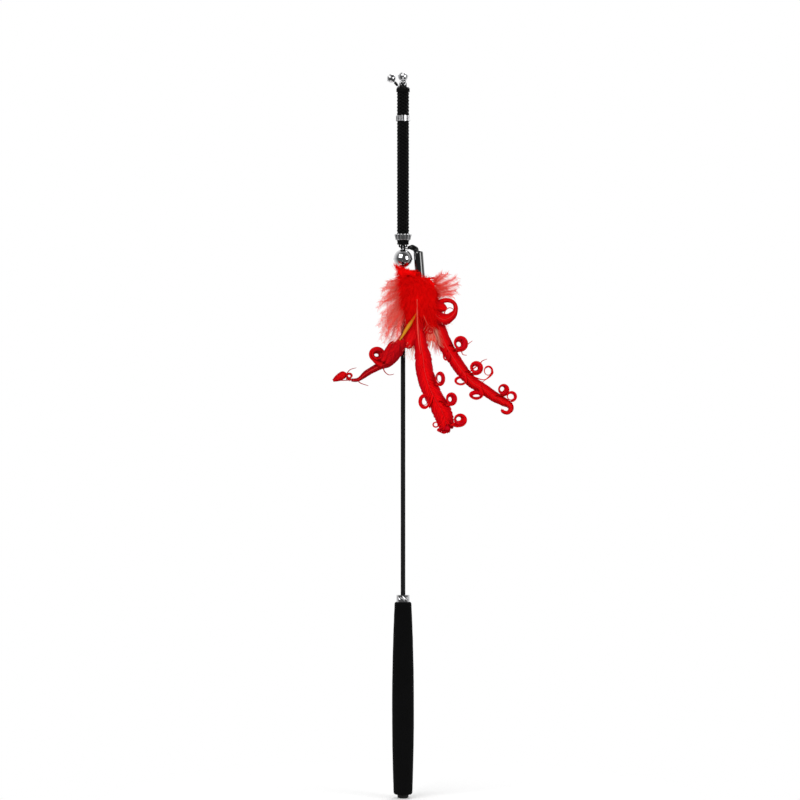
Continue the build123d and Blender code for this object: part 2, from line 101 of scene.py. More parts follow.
Rows = Sequence[tuple[float, ...]]
Span = tuple[float, float]
Colour = tuple[float, float, float]


class Body(Enum):
    """Moving bodies that the dressed pieces ride on."""

    WAND = "wand"
    STRAP = "strap"
    FEATHERS = "feather_bunch"


class Pattern(Enum):
    """Relief that a surface carries in its finish."""

    GRAIN = "Grain"
    CELLS = "Cells"
    STREAKS = "Streaks"


class Half(Enum):
    """Half of the fluff, with the way that it bulges along y."""

    FRONT = -1
    BACK = 1


def lerp(low: float, high: float, share: float) -> float:
    """Value at a share of the way from low to high."""
    return low + (high - low) * share


def smooth_line(points: Sequence[Vector], per_span: int) -> list[Vector]:
    """Round off a row of points into a curve that passes through them.

    Args:
        points: Points that the curve passes through.
        per_span: Steps between two points.

    Returns:
        The curve's points from the first to the last.
    """
    line: list[Vector] = []
    for index in range(len(points) - 1):
        before = points[max(index - 1, 0)]
        start = points[index]
        end = points[index + 1]
        after = points[min(index + 2, len(points) - 1)]
        for step in range(per_span):
            t = step / per_span
            line.append(
                0.5
                * (
                    2 * start
                    + (end - before) * t
                    + (2 * before - 5 * start + 4 * end - after) * t**2
                    + (3 * start - before - 3 * end + after) * t**3
                )
            )
    line.append(points[-1].copy())
    return line


def rounded(points: Sequence[Vector], radius: float, steps: int = 8) -> list[Vector]:
    """Row of points with its corners rounded off.

    Args:
        points: Ends and corners.
        radius: Radius of the corners.
        steps: Steps round each corner.

    Returns:
        The points from the first to the last.
    """
    line = [points[0]]
    for before, corner, after in zip(points, points[1:], points[2:]):
        back = (before - corner).normalized()
        ahead = (after - corner).normalized()
        half = back.angle(ahead) / 2
        middle = corner + (back + ahead).normalized() * radius / math.sin(half)
        start = corner + back * radius / math.tan(half) - middle
        end = corner + ahead * radius / math.tan(half) - middle
        for step in range(steps + 1):
            line.append(middle + start.slerp(end, step / steps))
    line.append(points[-1])
    return line


def winding(
    foot: Vector, rise: Vector, out: Vector, side: Vector, count: int, steps: int
) -> list[Vector]:
    """Line that winds round an axis.

    Args:
        foot: Where it starts on the axis.
        rise: How far it moves along the axis in a turn.
        out: From the axis to its first point.
        side: From the axis to its point a quarter of a turn later.
        count: Steps in all.
        steps: Steps in a turn.

    Returns:
        The points along the line.
    """
    line = []
    for step in range(count + 1):
        turn = step / steps
        around = out * math.cos(math.tau * turn) + side * math.sin(math.tau * turn)
        line.append(foot + rise * turn + around)
    return line


def hoop(middle: Vector, radius: float, steps: int = 40) -> list[Vector]:
    """Full turn round a level axis that runs from side to side, from its lowest point."""
    return winding(middle, Vector(), -UP * radius, -FRONT * radius, steps, steps)


def tangents(line: Sequence[Vector]) -> list[Vector]:
    """Unit direction of a line at each of its points."""
    last = len(line) - 1
    return [(line[min(i + 1, last)] - line[max(i - 1, 0)]).normalized() for i in range(last + 1)]


def eased_rows(rows: Rows, per_span: int) -> list[tuple[float, ...]]:
    """Rows of numbers with eased steps put between them.

    Args:
        rows: Rows of one length.
        per_span: Steps between two rows.

    Returns:
        The rows with the steps between them.
    """
    fine = []
    for start, end in zip(rows, rows[1:]):
        for step in range(per_span):
            share = step / per_span
            ease = share * share * (3 - 2 * share)
            fine.append(tuple(lerp(low, high, ease) for low, high in zip(start, end)))
    fine.append(tuple(rows[-1]))
    return fine


def below_mouth(across: float, down: float, front: float = 0.0) -> Vector:
    """Point of the feather bunch, from its distances to where the quills leave the holder."""
    return Vector((MOUTH.x + across, TOY_Y - front, MOUTH.z - FEATHER_TOP_DROP - down))


class MeshMaker:
    """Collects closed strands, ribbons and lathes, and turns them into one piece."""

    def __init__(self) -> None:
        """Start empty."""
        self.points: list[Vector] = []
        self.faces: list[tuple[int, ...]] = []
        self.shade: list[float] = []
        self.along: list[float] = []

    def rings(self, rings: Sequence[Sequence[Vector]], shade: float, closed: bool = False) -> None:
        """Skin a row of rings, and cap its ends unless it runs back into itself.

        Args:
            rings: Rings of points, all of one count.
            shade: Tint of this strand, from 0 to 1.
            closed: Whether the last ring joins the first.
        """
        base = len(self.points)
        sides = len(rings[0])
        count = len(rings)
        for index, ring in enumerate(rings):
            self.points.extend(ring)
            self.shade.extend([shade] * sides)
            self.along.extend([index / max(count - 1, 1)] * sides)
        for index in range(count if closed else count - 1):
            here = base + index * sides
            there = base + (index + 1) % count * sides
            for side in range(sides):
                turn = (side + 1) % sides
                self.faces.append((here + side, here + turn, there + turn, there + side))
        if not closed:
            self.faces.append(tuple(base + side for side in reversed(range(sides))))
            self.faces.append(tuple(base + (count - 1) * sides + side for side in range(sides)))

    def strand(
        self,
        line: Sequence[Vector],
        radii: Sequence[float],
        sides: int = 3,
        shade: float = MID_SHADE,
        lobes: int = 0,
        twist: float = 0.0,
    ) -> None:
        """Add a round strand along a line, plain or laid up from twisted plies.

        Args:
            line: Points along its middle.
            radii: Radius at each point.
            sides: Sides of its section.
            shade: Tint of the strand.
            lobes: Plies that show in its section, or none.
            twist: Turn of the plies from one point to the next, in radians.
        """
        directions = tangents(line)
        across = directions[0].orthogonal().normalized()
        rings = []
        for index, (point, along) in enumerate(zip(line, directions)):
            across = (across - along * across.dot(along)).normalized()
            side_dir = along.cross(across)
            ring = []
            for side in range(sides):
                angle = math.tau * side / sides
                groove = (1 - math.cos(lobes * angle + twist * index)) / 2 if lobes else 0
                offset = across * math.cos(angle) + side_dir * math.sin(angle)
                ring.append(point + offset * radii[index] * (1 - PLY_DEPTH * groove))
            rings.append(ring)
        self.rings(rings, shade)

    def ribbon(
        self,
        line: Sequence[Vector],
        across: Sequence[Vector],
        widths: Sequence[float],
        thick: float,
        shade: float,
    ) -> None:
        """Add a thin ribbon with a lens-shaped section.

        Args:
            line: Points along its middle.
            across: Direction of its width at each point.
            widths: Width at each point.
            thick: Thickness in its middle.
            shade: Tint of the ribbon.
        """
        rings = []
        for point, along, wide, width in zip(line, tangents(line), across, widths):
            wide = (wide - along * wide.dot(along)).normalized()
            up = along.cross(wide)
            rings.append(
                [
                    point + wide * width / 2,
                    point + up * thick / 2,
                    point - wide * width / 2,
                    point - up * thick / 2,
                ]
            )
        self.rings(rings, shade)

    def piece(self, name: str) -> bpy.types.Object:
        """Make the piece from what was collected, in millimetres, as an object in metres.

        Args:
            name: Name of the piece.

        Returns:
            The new object, linked into the scene, with its faces shaded smoothly.
        """
        mesh = bpy.data.meshes.new(name)
        mesh.from_pydata([point * MM for point in self.points], [], self.faces)
        for label, values in (("shade", self.shade), ("along", self.along)):
            mesh.attributes.new(label, "FLOAT", "POINT").data.foreach_set("value", values)
        mesh.polygons.foreach_set("use_smooth", [True] * len(mesh.polygons))
        mesh.update()
        made = bpy.data.objects.new(name, mesh)
        bpy.context.scene.collection.objects.link(made)
        return made


class Nodes:
    """Short way to add and link the nodes of one tree."""

    def __init__(self, tree: bpy.types.NodeTree) -> None:
        """Work on one tree."""
        self.tree = tree

    def add(self, kind: str, **settings: object) -> bpy.types.Node:
        """Add a node; settings name its properties, or its inputs where it has no such property.

        Args:
            kind: Type of the node without its ShaderNode prefix.
            settings: Values, or sockets to link from.

        Returns:
            The new node.
        """
        prefix = "" if kind.startswith("NodeGroup") else "ShaderNode"
        node = self.tree.nodes.new(prefix + kind)
        for key, value in settings.items():
            if hasattr(node, key):
                setattr(node, key, value)
            else:
                self.put(node, key.replace("_", " "), value)
        return node

    def put(self, node: bpy.types.Node, label: str, value: object) -> None:
        """Set or link the input of a node that has a label.

        Args:
            node: Node that takes the value.
            label: Name of the input, or its index as text after in.
            value: Number, colour or socket.
        """
        by_index = label.startswith("in") and label[2:].isdigit()
        socket = node.inputs[int(label[2:]) if by_index else label]
        if isinstance(value, bpy.types.NodeSocket):
            self.tree.links.new(value, socket)
        else:
            socket.default_value = value

    def maths(self, operation: str, first: object, second: object = 0.0) -> bpy.types.NodeSocket:
        """Result of one sum on two values or sockets."""
        return self.add("Math", operation=operation, in0=first, in1=second).outputs[0]

    def mix(self, share: object, first: object, second: object) -> bpy.types.NodeSocket:
        """Colour between two colours at a share."""
        node = self.add("Mix", data_type="RGBA", in0=share, in6=first, in7=second)
        return node.outputs[2]

    def spread(self, value: bpy.types.NodeSocket, low: float, high: float) -> bpy.types.NodeSocket:
        """Value from 0 to 1 carried over to a range from low to high."""
        return self.add("MapRange", To_Min=low, To_Max=high, Value=value).outputs[0]


def start_material(name: str) -> tuple[bpy.types.Material, Nodes, bpy.types.Node]:
    """Start a material.

    Args:
        name: Name of the material.

    Returns:
        The material, the helper for its nodes, and its shader.
    """
    made = bpy.data.materials.new(name)
    made.use_nodes = True
    return made, Nodes(made.node_tree), made.node_tree.nodes["Principled BSDF"]


class SurfaceGroups:
    """Node groups that several finishes share, each built once."""

    # Size of a barb's fine relief in millimetres, and the share of its tint that is its own.
    fine_size: float = 1 / 2.2
    barb_share: float = 0.65

    def __init__(self) -> None:
        """Start with no group built."""
        self.made: dict[str, bpy.types.NodeTree] = {}

    def start(
        self, name: str, inputs: dict[str, float], outputs: Sequence[str]
    ) -> tuple[Nodes, bpy.types.Node]:
        """Open a new group with its sockets.

        Args:
            name: Name of the group.
            inputs: Input names and their first values.
            outputs: Output names.

        Returns:
            The tree's helper and its input node.
        """
        tree = bpy.data.node_groups.new(name, "ShaderNodeTree")
        kind = "NodeSocketFloat"
        for label, value in inputs.items():
            socket = tree.interface.new_socket(label, in_out="INPUT", socket_type=kind)
            socket.default_value = value
        for label in outputs:
            tree.interface.new_socket(label, in_out="OUTPUT", socket_type=kind)
        self.made[name] = tree
        nodes = Nodes(tree)
        return nodes, nodes.add("NodeGroupInput")

    def close(self, nodes: Nodes, **outputs: bpy.types.NodeSocket) -> bpy.types.NodeTree:
        """Link a group's outputs.

        Args:
            nodes: The tree's helper.
            outputs: Socket that feeds each output.

        Returns:
            The group.
        """
        end = nodes.add("NodeGroupOutput")
        for label, socket in outputs.items():
            nodes.put(end, label, socket)
        return nodes.tree

    def relief(self) -> bpy.types.NodeTree:
        """Fine relief of a surface: grain, closed cells and drawn streaks, with a blotch mask.

        Returns:
            The group.
        """
        name = "surface_relief"
        if name in self.made:
            return self.made[name]
        nodes, start = self.start(name, RELIEF_SIZES, ("Grain", "Cells", "Streaks", "Blotch"))
        place = nodes.add("TexCoord").outputs["Object"]
        grain_scale, cell_scale, streak_scale, blotch_scale = (
            nodes.maths("DIVIDE", 1 / MM, start.outputs[label]) for label in RELIEF_SIZES
        )
        grain = nodes.add("TexNoise", Vector=place, Scale=grain_scale, Detail=4.0, Roughness=0.6)
        cells = nodes.add("TexVoronoi", Vector=place, Scale=cell_scale)
        length = nodes.add("CombineXYZ", X=grain_scale, Y=grain_scale, Z=streak_scale).outputs[0]
        drawn = nodes.add("VectorMath", operation="MULTIPLY", in0=place, in1=length).outputs[0]
        streaks = nodes.add("TexNoise", Vector=drawn, Scale=1.0, Detail=3.0)
        blotch = nodes.add("TexNoise", Vector=place, Scale=blotch_scale, Detail=3.0)
        return self.close(
            nodes,
            Grain=grain.outputs[0],
            Cells=cells.outputs["Distance"],
            Streaks=streaks.outputs[0],
            Blotch=blotch.outputs[0],
        )

    def barbs(self) -> bpy.types.NodeTree:
        """Tint of dyed barbs: a share for each barb, how far along it a point is, and blotches.

        Returns:
            The group.
        """
        name = "barb_tint"
        if name in self.made:
            return self.made[name]
        nodes, start = self.start(name, {"Blotch Size": 6.0}, ("Tint", "Along", "Fine"))
        place = nodes.add("TexCoord").outputs["Object"]
        scale = nodes.maths("DIVIDE", 1 / MM, start.outputs["Blotch Size"])
        blotch = nodes.add("TexNoise", Vector=place, Scale=scale, Detail=2.0).outputs[0]
        fine_scale = 1 / (self.fine_size * MM)
        fine = nodes.add("TexNoise", Vector=place, Scale=fine_scale, Detail=2.0).outputs[0]
        shade = nodes.add("Attribute", attribute_name="shade").outputs["Fac"]
        along = nodes.add("Attribute", attribute_name="along").outputs["Fac"]
        by_barb = nodes.maths("MULTIPLY", shade, self.barb_share)
        by_blotch = nodes.maths("MULTIPLY", blotch, 1 - self.barb_share)
        tint = nodes.maths("ADD", by_barb, by_blotch)
        return self.close(nodes, Tint=tint, Along=along, Fine=fine)


GROUPS = SurfaceGroups()


@dataclass(frozen=True)
class Finish:
    """A hard or woven finish with relief, blotches in its gloss and a worn tint.

    Args:
        name: Name of the material.
        slot: Material slot of the record that it stands for; not used.
        colour: Main colour.
        worn: Colour where the surface is rubbed.
        gloss: Least and most roughness.
        metallic: 1 for bare metal.
        pattern: Relief that drives the bump.
        depth: Height of the relief in millimetres.
        strength: Share of the relief that shows.
        sizes: Grain, cell, streak and blotch sizes in millimetres.
        coat: Weight of a clear coat.
        specular: Level of its mirror reflection.
    """

    name: str
    slot: str
    colour: Colour
    worn: Colour
    gloss: Span
    metallic: float = 0.0
    pattern: Pattern = Pattern.GRAIN
    depth: float = 0.02
    strength: float = 1.0
    sizes: tuple[float, float, float, float] = (0.5, 0.5, 20.0, 10.0)
    coat: float = 0.0
    specular: float = 0.5

    def material(self) -> bpy.types.Material:
        """The finish as a material, built on first use."""
        return bpy.data.materials.get(self.name) or self.new_material()

    def new_material(self) -> bpy.types.Material:
        """Build the material.

        Returns:
            The new material.
        """
        made, nodes, shader = start_material(self.name)
        relief = nodes.add("Group", node_tree=GROUPS.relief())
        for label, size in zip(RELIEF_SIZES, self.sizes):
            nodes.put(relief, label, size)
        height = relief.outputs[self.pattern.value]
        blotch = relief.outputs["Blotch"]
        rubbed = nodes.maths("MULTIPLY", blotch, height)
        tint = nodes.mix(rubbed, (*self.colour, 1.0), (*self.worn, 1.0))
        nodes.put(shader, "Base Color", tint)
        nodes.put(shader, "Roughness", nodes.spread(blotch, *self.gloss))
        self.add_bump(nodes, shader, height)
        nodes.put(shader, "Metallic", self.metallic)
        nodes.put(shader, "Coat Weight", self.coat)
        nodes.put(shader, "Coat Roughness", self.gloss[0] / 2)
        return made

    def add_bump(
        self, nodes: Nodes, shader: bpy.types.Node, height: bpy.types.NodeSocket
    ) -> None:
        """Give the shader its relief and its level of mirror reflection.

        Args:
            nodes: Helper of the material's nodes.
            shader: Its shader.
            height: Height of the relief.
        """
        distance = self.depth * MM
        bump = nodes.add("Bump", Strength=self.strength, Distance=distance, Height=height)
        nodes.put(shader, "Normal", bump.outputs[0])
        nodes.put(shader, "Specular IOR Level", self.specular)

    def dress(self, piece: bpy.types.Object) -> None:
        """Give the finish to a piece in place of the materials it had.

        Args:
            piece: Object that takes the finish.
        """
        piece.data.materials.clear()
        piece.data.materials.append(self.material())


@dataclass(frozen=True)
class BarbFinish(Finish):
    """Dyed barbs and quills, tinted barb by barb and along their length.

    Args:
        strength: Share of the relief that shows.
        tip: Colour at the far end of a barb.
        tip_share: How much of that colour shows at the end.
        tip_power: How late along the barb it sets in.
    """

    strength: float = 0.6
    tip: Colour = (0.5, 0.0, 0.0)
    tip_share: float = 0.5
    tip_power: float = 2.0

    def new_material(self) -> bpy.types.Material:
        """Build the material.

        Returns:
            The new material.
        """
        made, nodes, shader = start_material(self.name)
        tint = nodes.add("Group", node_tree=GROUPS.barbs())
        nodes.put(tint, "Blotch Size", self.sizes[-1])
        dyed = nodes.mix(tint.outputs["Tint"], (*self.worn, 1.0), (*self.colour, 1.0))
        late = nodes.maths("POWER", tint.outputs["Along"], self.tip_power)
        far = nodes.maths("MULTIPLY", late, self.tip_share)
        nodes.put(shader, "Base Color", nodes.mix(far, dyed, (*self.tip, 1.0)))
        nodes.put(shader, "Roughness", nodes.spread(tint.outputs["Fine"], *self.gloss))
        self.add_bump(nodes, shader, tint.outputs["Fine"])
        return made


CHROME = Finish(
    "bright_chrome", "chrome", (0.66, 0.66, 0.67), (0.52, 0.52, 0.54), (0.03, 0.13),
    metallic=1.0, depth=0.004, sizes=(0.8, 0.8, 20.0, 4.0),
)
PELLET = Finish(
    "dull_steel", "pellet_steel", (0.40, 0.40, 0.41), (0.28, 0.27, 0.26), (0.25, 0.45),
    metallic=1.0, depth=0.01,
)
ROD_PAINT = Finish(
    "satin_rod_paint", "rod_paint", (0.007, 0.007, 0.0075), (0.016, 0.016, 0.016), (0.34, 0.46),
    pattern=Pattern.STREAKS, depth=0.002, sizes=(0.35, 0.5, 14.0, 9.0), specular=0.05,
)
FOAM = Finish(
    "black_foam", "grip_foam", (0.0015, 0.0015, 0.0016), (0.005, 0.005, 0.0052), (0.8, 0.96),
    pattern=Pattern.CELLS, depth=0.16, sizes=(0.3, 0.42, 20.0, 16.0), specular=0.05,
)
PLASTIC = Finish(
    "moulded_plastic", "black_plastic", (0.003, 0.003, 0.003), (0.010, 0.010, 0.010), (0.38, 0.6),
    depth=0.02, specular=0.16,
)
BRAID = Finish(
    "braided_hide", "braid", (0.0015, 0.0015, 0.0017), (0.005, 0.0048, 0.0048), (0.40, 0.62),
    pattern=Pattern.CELLS, depth=0.06, sizes=(0.3, 0.5, 20.0, 5.0), specular=0.08,
)
THREAD = Finish(
    "waxed_thread", "black_cord", (0.003, 0.003, 0.003), (0.010, 0.010, 0.010), (0.5, 0.75),
    depth=0.03, sizes=(0.2, 0.3, 20.0, 3.0), specular=0.08,
)
LACE = Finish(
    "polished_lace", "black_cord", (0.0015, 0.0015, 0.0018), (0.005, 0.005, 0.005), (0.14, 0.3),
    depth=0.03, sizes=(0.6, 0.5, 20.0, 3.0), specular=0.35,
)
GLOSS_BLACK = Finish(
    "gloss_black", "holder_gloss", (0.001, 0.001, 0.0012), (0.003, 0.003, 0.003), (0.03, 0.06),
    depth=0.003, sizes=(1.6, 0.5, 20.0, 6.0), coat=1.0, specular=0.9,
)
RED_FEATHER = BarbFinish(
    "red_barbs", "red_feather", (0.88, 0.001, 0.002), (0.56, 0.0, 0.002), (0.55, 0.75),
    depth=0.04, specular=0.04, tip=(0.44, 0.0, 0.012), tip_share=0.75,
)
DARK_FEATHER = BarbFinish(
    "crimson_barbs", "red_feather", (0.86, 0.002, 0.003), (0.20, 0.0, 0.004), (0.55, 0.75),
    depth=0.04, specular=0.05, tip=(0.40, 0.0, 0.008), tip_share=0.5,
)
RED_FLUFF = BarbFinish(
    "red_fluff", "red_marabou", (1.0, 0.002, 0.001), (0.84, 0.0, 0.001), (0.65, 0.85),
    depth=0.04, specular=0.03, tip=(1.0, 0.006, 0.005), tip_share=0.5,
)
PALE_DOWN = BarbFinish(
    "salmon_down", "pale_down", (1.0, 0.17, 0.13), (1.0, 0.025, 0.020), (0.65, 0.85),
    depth=0.03, specular=0.03, tip=(1.0, 0.34, 0.26), tip_share=0.7,
)
CREAM_DOWN = BarbFinish(
    "cream_down", "pale_down", (1.0, 0.58, 0.42), (1.0, 0.36, 0.24), (0.65, 0.85),
    depth=0.03, specular=0.06, tip=(1.0, 0.82, 0.64), tip_share=0.9,
)
QUILL = BarbFinish(
    "dyed_quill", "red_feather", (0.84, 0.030, 0.022), (0.66, 0.004, 0.006), (0.35, 0.5),
    depth=0.02, specular=0.2, tip=(0.60, 0.0, 0.006), tip_share=0.9,
)
PALE_QUILL = BarbFinish(
    "pale_quill", "red_feather", (0.90, 0.16, 0.11), (0.84, 0.06, 0.04), (0.35, 0.5),
    depth=0.02, specular=0.2, tip=(0.80, 0.006, 0.006), tip_share=1.0,
)
STRIPPED_QUILL = BarbFinish(
    "stripped_quill", "red_feather", (0.66, 0.34, 0.008), (0.62, 0.07, 0.005), (0.4, 0.6),
    depth=0.05, sizes=(0.5, 0.5, 20.0, 1.1), specular=0.15, tip=(0.60, 0.36, 0.02), tip_share=0.5,
)


def settle(
    piece: bpy.types.Object, body: Body, nodes: Sequence[str], finish: Finish
) -> bpy.types.Object:
    """Dress a new piece, put it in place of its solids and let it ride on its body.

    Args:
        piece: New object.
        body: Body that carries it.
        nodes: Solids that it stands for.
        finish: Its finish.

    Returns:
        The same object.
    """
    finish.dress(piece)
    if nodes:
        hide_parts(*nodes)
    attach(piece, body.value)
    LOG.info("%s rides on %s with %s faces", piece.name, body.value, len(piece.data.polygons))
    return piece


def dress_solids(names: Sequence[str], finish: Finish) -> None:
    """Give a finish to solids that keep their shape.

    Args:
        names: Solids of the frame.
        finish: Their finish.
    """
    for name in names:
        finish.dress(frame["nodes"][name])
        LOG.info("%s keeps its shape in %s", name, finish.name)


@dataclass
class Handle:
    """Foam grip with its plug and the collar on top, and the rod."""

    length: float = 145.0
    top_r: float = 6.3
    belly_r: float = 8.25
    butt_r: float = 7.05
    belly_drop: float = 7.5
    edge_r: float = 1.6
    bore_r: float = 4.05
    rows: int = 150
    sides: int = 120
    dent: float = 0.07
    dent_run: float = 5.0

    def radius_at(self, z: float) -> float:
        """Radius of the barrel at a height, with its ends rounded.

        Args:
            z: Height above the middle of the grip.

        Returns:
            The radius.
        """
        half = self.length / 2
        above = z + self.belly_drop
        run, fall = half + self.belly_drop, self.belly_r - self.top_r
        if above < 0:
            run, fall = half - self.belly_drop, self.belly_r - self.butt_r
        radius = self.belly_r - fall * (above / run) ** 2
        inset = max(abs(z) - half + self.edge_r, 0)
        return radius - self.edge_r + math.sqrt(max(self.edge_r**2 - inset**2, 0))

    def build(self) -> bpy.types.Object:
        """Lathe the foam barrel with shallow dents and its bore.

        Returns:
            The grip as one closed mesh.
        """
        half = self.length / 2
        profile = [(self.bore_r, half)]
        for row in range(self.rows + 1):
            z = half * math.cos(math.pi * row / self.rows)
            profile.append((self.radius_at(z), z))
        profile.append((self.bore_r, -half))
        rings = []
        for radius, z in profile:
            dent = self.dent if radius > self.bore_r else 0.0
            ring = []
            for side in range(self.sides):
                angle = math.tau * side / self.sides
                out = Vector((math.cos(angle), math.sin(angle), 0))
                spot = out * radius + UP * z
                ring.append(spot + out * dent * noise.noise(spot / self.dent_run))
            rings.append(ring)
        maker = MeshMaker()
        maker.rings(rings, MID_SHADE, closed=True)
        return maker.piece("grip_barrel")

    def dress(self) -> None:
        """Put the grip in place and finish the solids of the handle."""
        grip = settle(self.build(), Body.WAND, ["foam_grip"], FOAM)
        dress_solids(["grip_core", "end_plug", "tip_cap"], PLASTIC)
        dress_solids(["rod"], ROD_PAINT)
        dress_solids(["rope_collar"], CHROME)


@dataclass
class Strap:
    """Braided strap with its cord loops, thread binding and two bands."""

    strands: int = 6
    lead: float = 15.0
    braid_r: float = 3.62
    swing: float = 0.45
    strand_w: float = 2.05
    strand_t: float = 1.1
    strand_sides: int = 8
    core_r: float = 3.2
    core_sides: int = 24
    gather: float = 0.14
    gather_run: float = 0.9
    seed: int = 5
    route_stops: int = 5
    route_steps: int = 110
    loop_mean_r: float = 1.3
    loop_r: float = 0.6
    loop_sides: int = 18
    loop_twist: float = 0.5
    bight_half_w: float = 2.7
    bight_corner: float = 0.7
    bight_rise: float = 1.7
    leg_steps: int = 5
    corner_steps: int = 6
    binding_turns: int = 6
    binding_d: float = 0.55
    binding_drop: float = 0.6
    binding_gap: float = 0.05
    binding_steps: int = 48

    def route(self) -> list[Vector]:
        """Read the strap's middle line from its smooth curve.

        Returns:
            The line's points from top to bottom.
        """
        data = bpy.data.curves.new("strap_route", "CURVE")
        data.dimensions = "3D"
        spline = data.splines.new("NURBS")
        last = self.route_stops - 1
        spline.points.add(last)
        for index, point in enumerate(spline.points):
            z = STRAP_TOP_Z - STRAP_LENGTH * index / last
            point.co = (0, TOY_Y * MM, z * MM, 1)
        spline.order_u = 3
        spline.use_endpoint_u = True
        data.resolution_u = self.route_steps
        guide = bpy.data.objects.new("strap_route", data)
        mesh = bpy.data.meshes.new_from_object(guide)
        points = [vertex.co / MM for vertex in mesh.vertices]
        bpy.data.objects.remove(guide)
        bpy.data.meshes.remove(mesh)
        return points

    def strand_rings(
        self, line: Sequence[Vector], start: float, hand: int
    ) -> list[list[Vector]]:
        """Sections of one braid strand that passes over and under the others.

        Args:
            line: Middle line of the strap.
            start: Angle of the strand at the top.
            hand: 1 or -1 for the way it winds.

        Returns:
            Rings of points along the strand.
        """
        rings = []
        travel = 0.0
        turn_rate = math.tau / self.lead
        lean = math.atan(turn_rate * self.braid_r)
        for index, point in enumerate(line):
            if index:
                travel += (point - line[index - 1]).length
            angle = start + hand * turn_rate * travel
            closing = self.gather * max(1 - (point.z - line[-1].z) / self.gather_run, 0)
            weave = hand * self.swing * math.cos(self.strands * turn_rate * travel)
            lift = self.braid_r * (1 - closing) + weave
            out = Vector((math.cos(angle), math.sin(angle), 0))
            round_dir = Vector((-math.sin(angle), math.cos(angle), 0)) * hand
            wide = round_dir * math.cos(lean) + UP * math.sin(lean)
            ring = []
            for side in range(self.strand_sides):
                share = math.tau * side / self.strand_sides
                reach = math.cos(share) * self.strand_w / 2
                sag = reach**2 / (2 * self.braid_r) * math.cos(lean) ** 2
                crown = math.sin(share) * self.strand_t / 2
                spot = point + wide * reach + out * (lift - sag + crown)
                spot.z = min(max(spot.z, line[-1].z), line[0].z)
                ring.append(spot)
            rings.append(ring)
        return rings

    def build_braid(self, line: Sequence[Vector]) -> bpy.types.Object:
        """Braid the strap's strands round its core.

        Args:
            line: Middle line of the strap.

        Returns:
            The braided strap.
        """
        maker = MeshMaker()
        maker.strand(line, [self.core_r] * len(line), sides=self.core_sides)
        draw = random.Random(self.seed)
        for hand in (1, -1):
            for index in range(self.strands):
                start = math.tau * index / self.strands
                maker.rings(self.strand_rings(line, start, hand), draw.random())
        return maker.piece("strap_braid")

    def bight(self) -> list[Vector]:
        """Cord under the strap: two legs with rounded corners and a level run between them.

        Returns:
            Points along the cord from the left leg to the right.
        """
        bottom = STRAP_TOP_Z - STRAP_LENGTH
        path = []
        for side in (-1, 1):
            half = []
            for step in range(self.leg_steps + 1):
                share = step / self.leg_steps
                z = lerp(bottom + self.bight_rise, SWING_Z + self.bight_corner, share)
                half.append(Vector((side * self.bight_half_w, TOY_Y, z)))
            for step in range(1, self.corner_steps + 1):
                angle = math.pi / 2 * step / self.corner_steps
                x = self.bight_half_w - self.bight_corner * (1 - math.cos(angle))
                z = SWING_Z + self.bight_corner * (1 - math.sin(angle))
                half.append(Vector((side * x, TOY_Y, z)))
            path.extend(half if side < 0 else reversed(half))
        return path

    def build_loops(self) -> bpy.types.Object:
        """Cord loop above the strap and the bight under it, laid up from plies.

        Returns:
            Both as one piece.
        """
        maker = MeshMaker()
        for path in (hoop(Vector((0, TOY_Y, LOOP_Z)), self.loop_mean_r), self.bight()):
            radii = [self.loop_r] * len(path)
            maker.strand(path, radii, self.loop_sides, lobes=PLIES, twist=self.loop_twist)
        return maker.piece("cord_loops")

    def build_binding(self) -> bpy.types.Object:
        """Thread wound round the strap's top end.

        Returns:
            The thread.
        """
        maker = MeshMaker()
        radius = STRAP_D / 2 + self.binding_gap + self.binding_d / 2
        foot = Vector((0, TOY_Y, STRAP_TOP_Z - self.binding_drop - self.binding_d / 2))
        rise, out, side = -UP * self.binding_d, RIGHT * radius, -FRONT * radius
        count = (self.binding_turns - 1) * self.binding_steps
        line = winding(foot, rise, out, side, count, self.binding_steps)
        radii = [self.binding_d / 2] * len(line)
        maker.strand(line, radii, THREAD_SIDES, lobes=PLIES, twist=THREAD_TWIST)
        return maker.piece("strap_binding")

    def dress(self) -> None:
        line = self.route()
        braid = settle(self.build_braid(line), Body.STRAP, ["braided_strap"], BRAID)
        loops = settle(self.build_loops(), Body.STRAP, ["core_cord"], THREAD)
        binding = settle(self.build_binding(), Body.STRAP, ["top_binding"], THREAD)
        dress_solids(["upper_band", "lower_band", "tip_eye", "tip_ring"], CHROME)


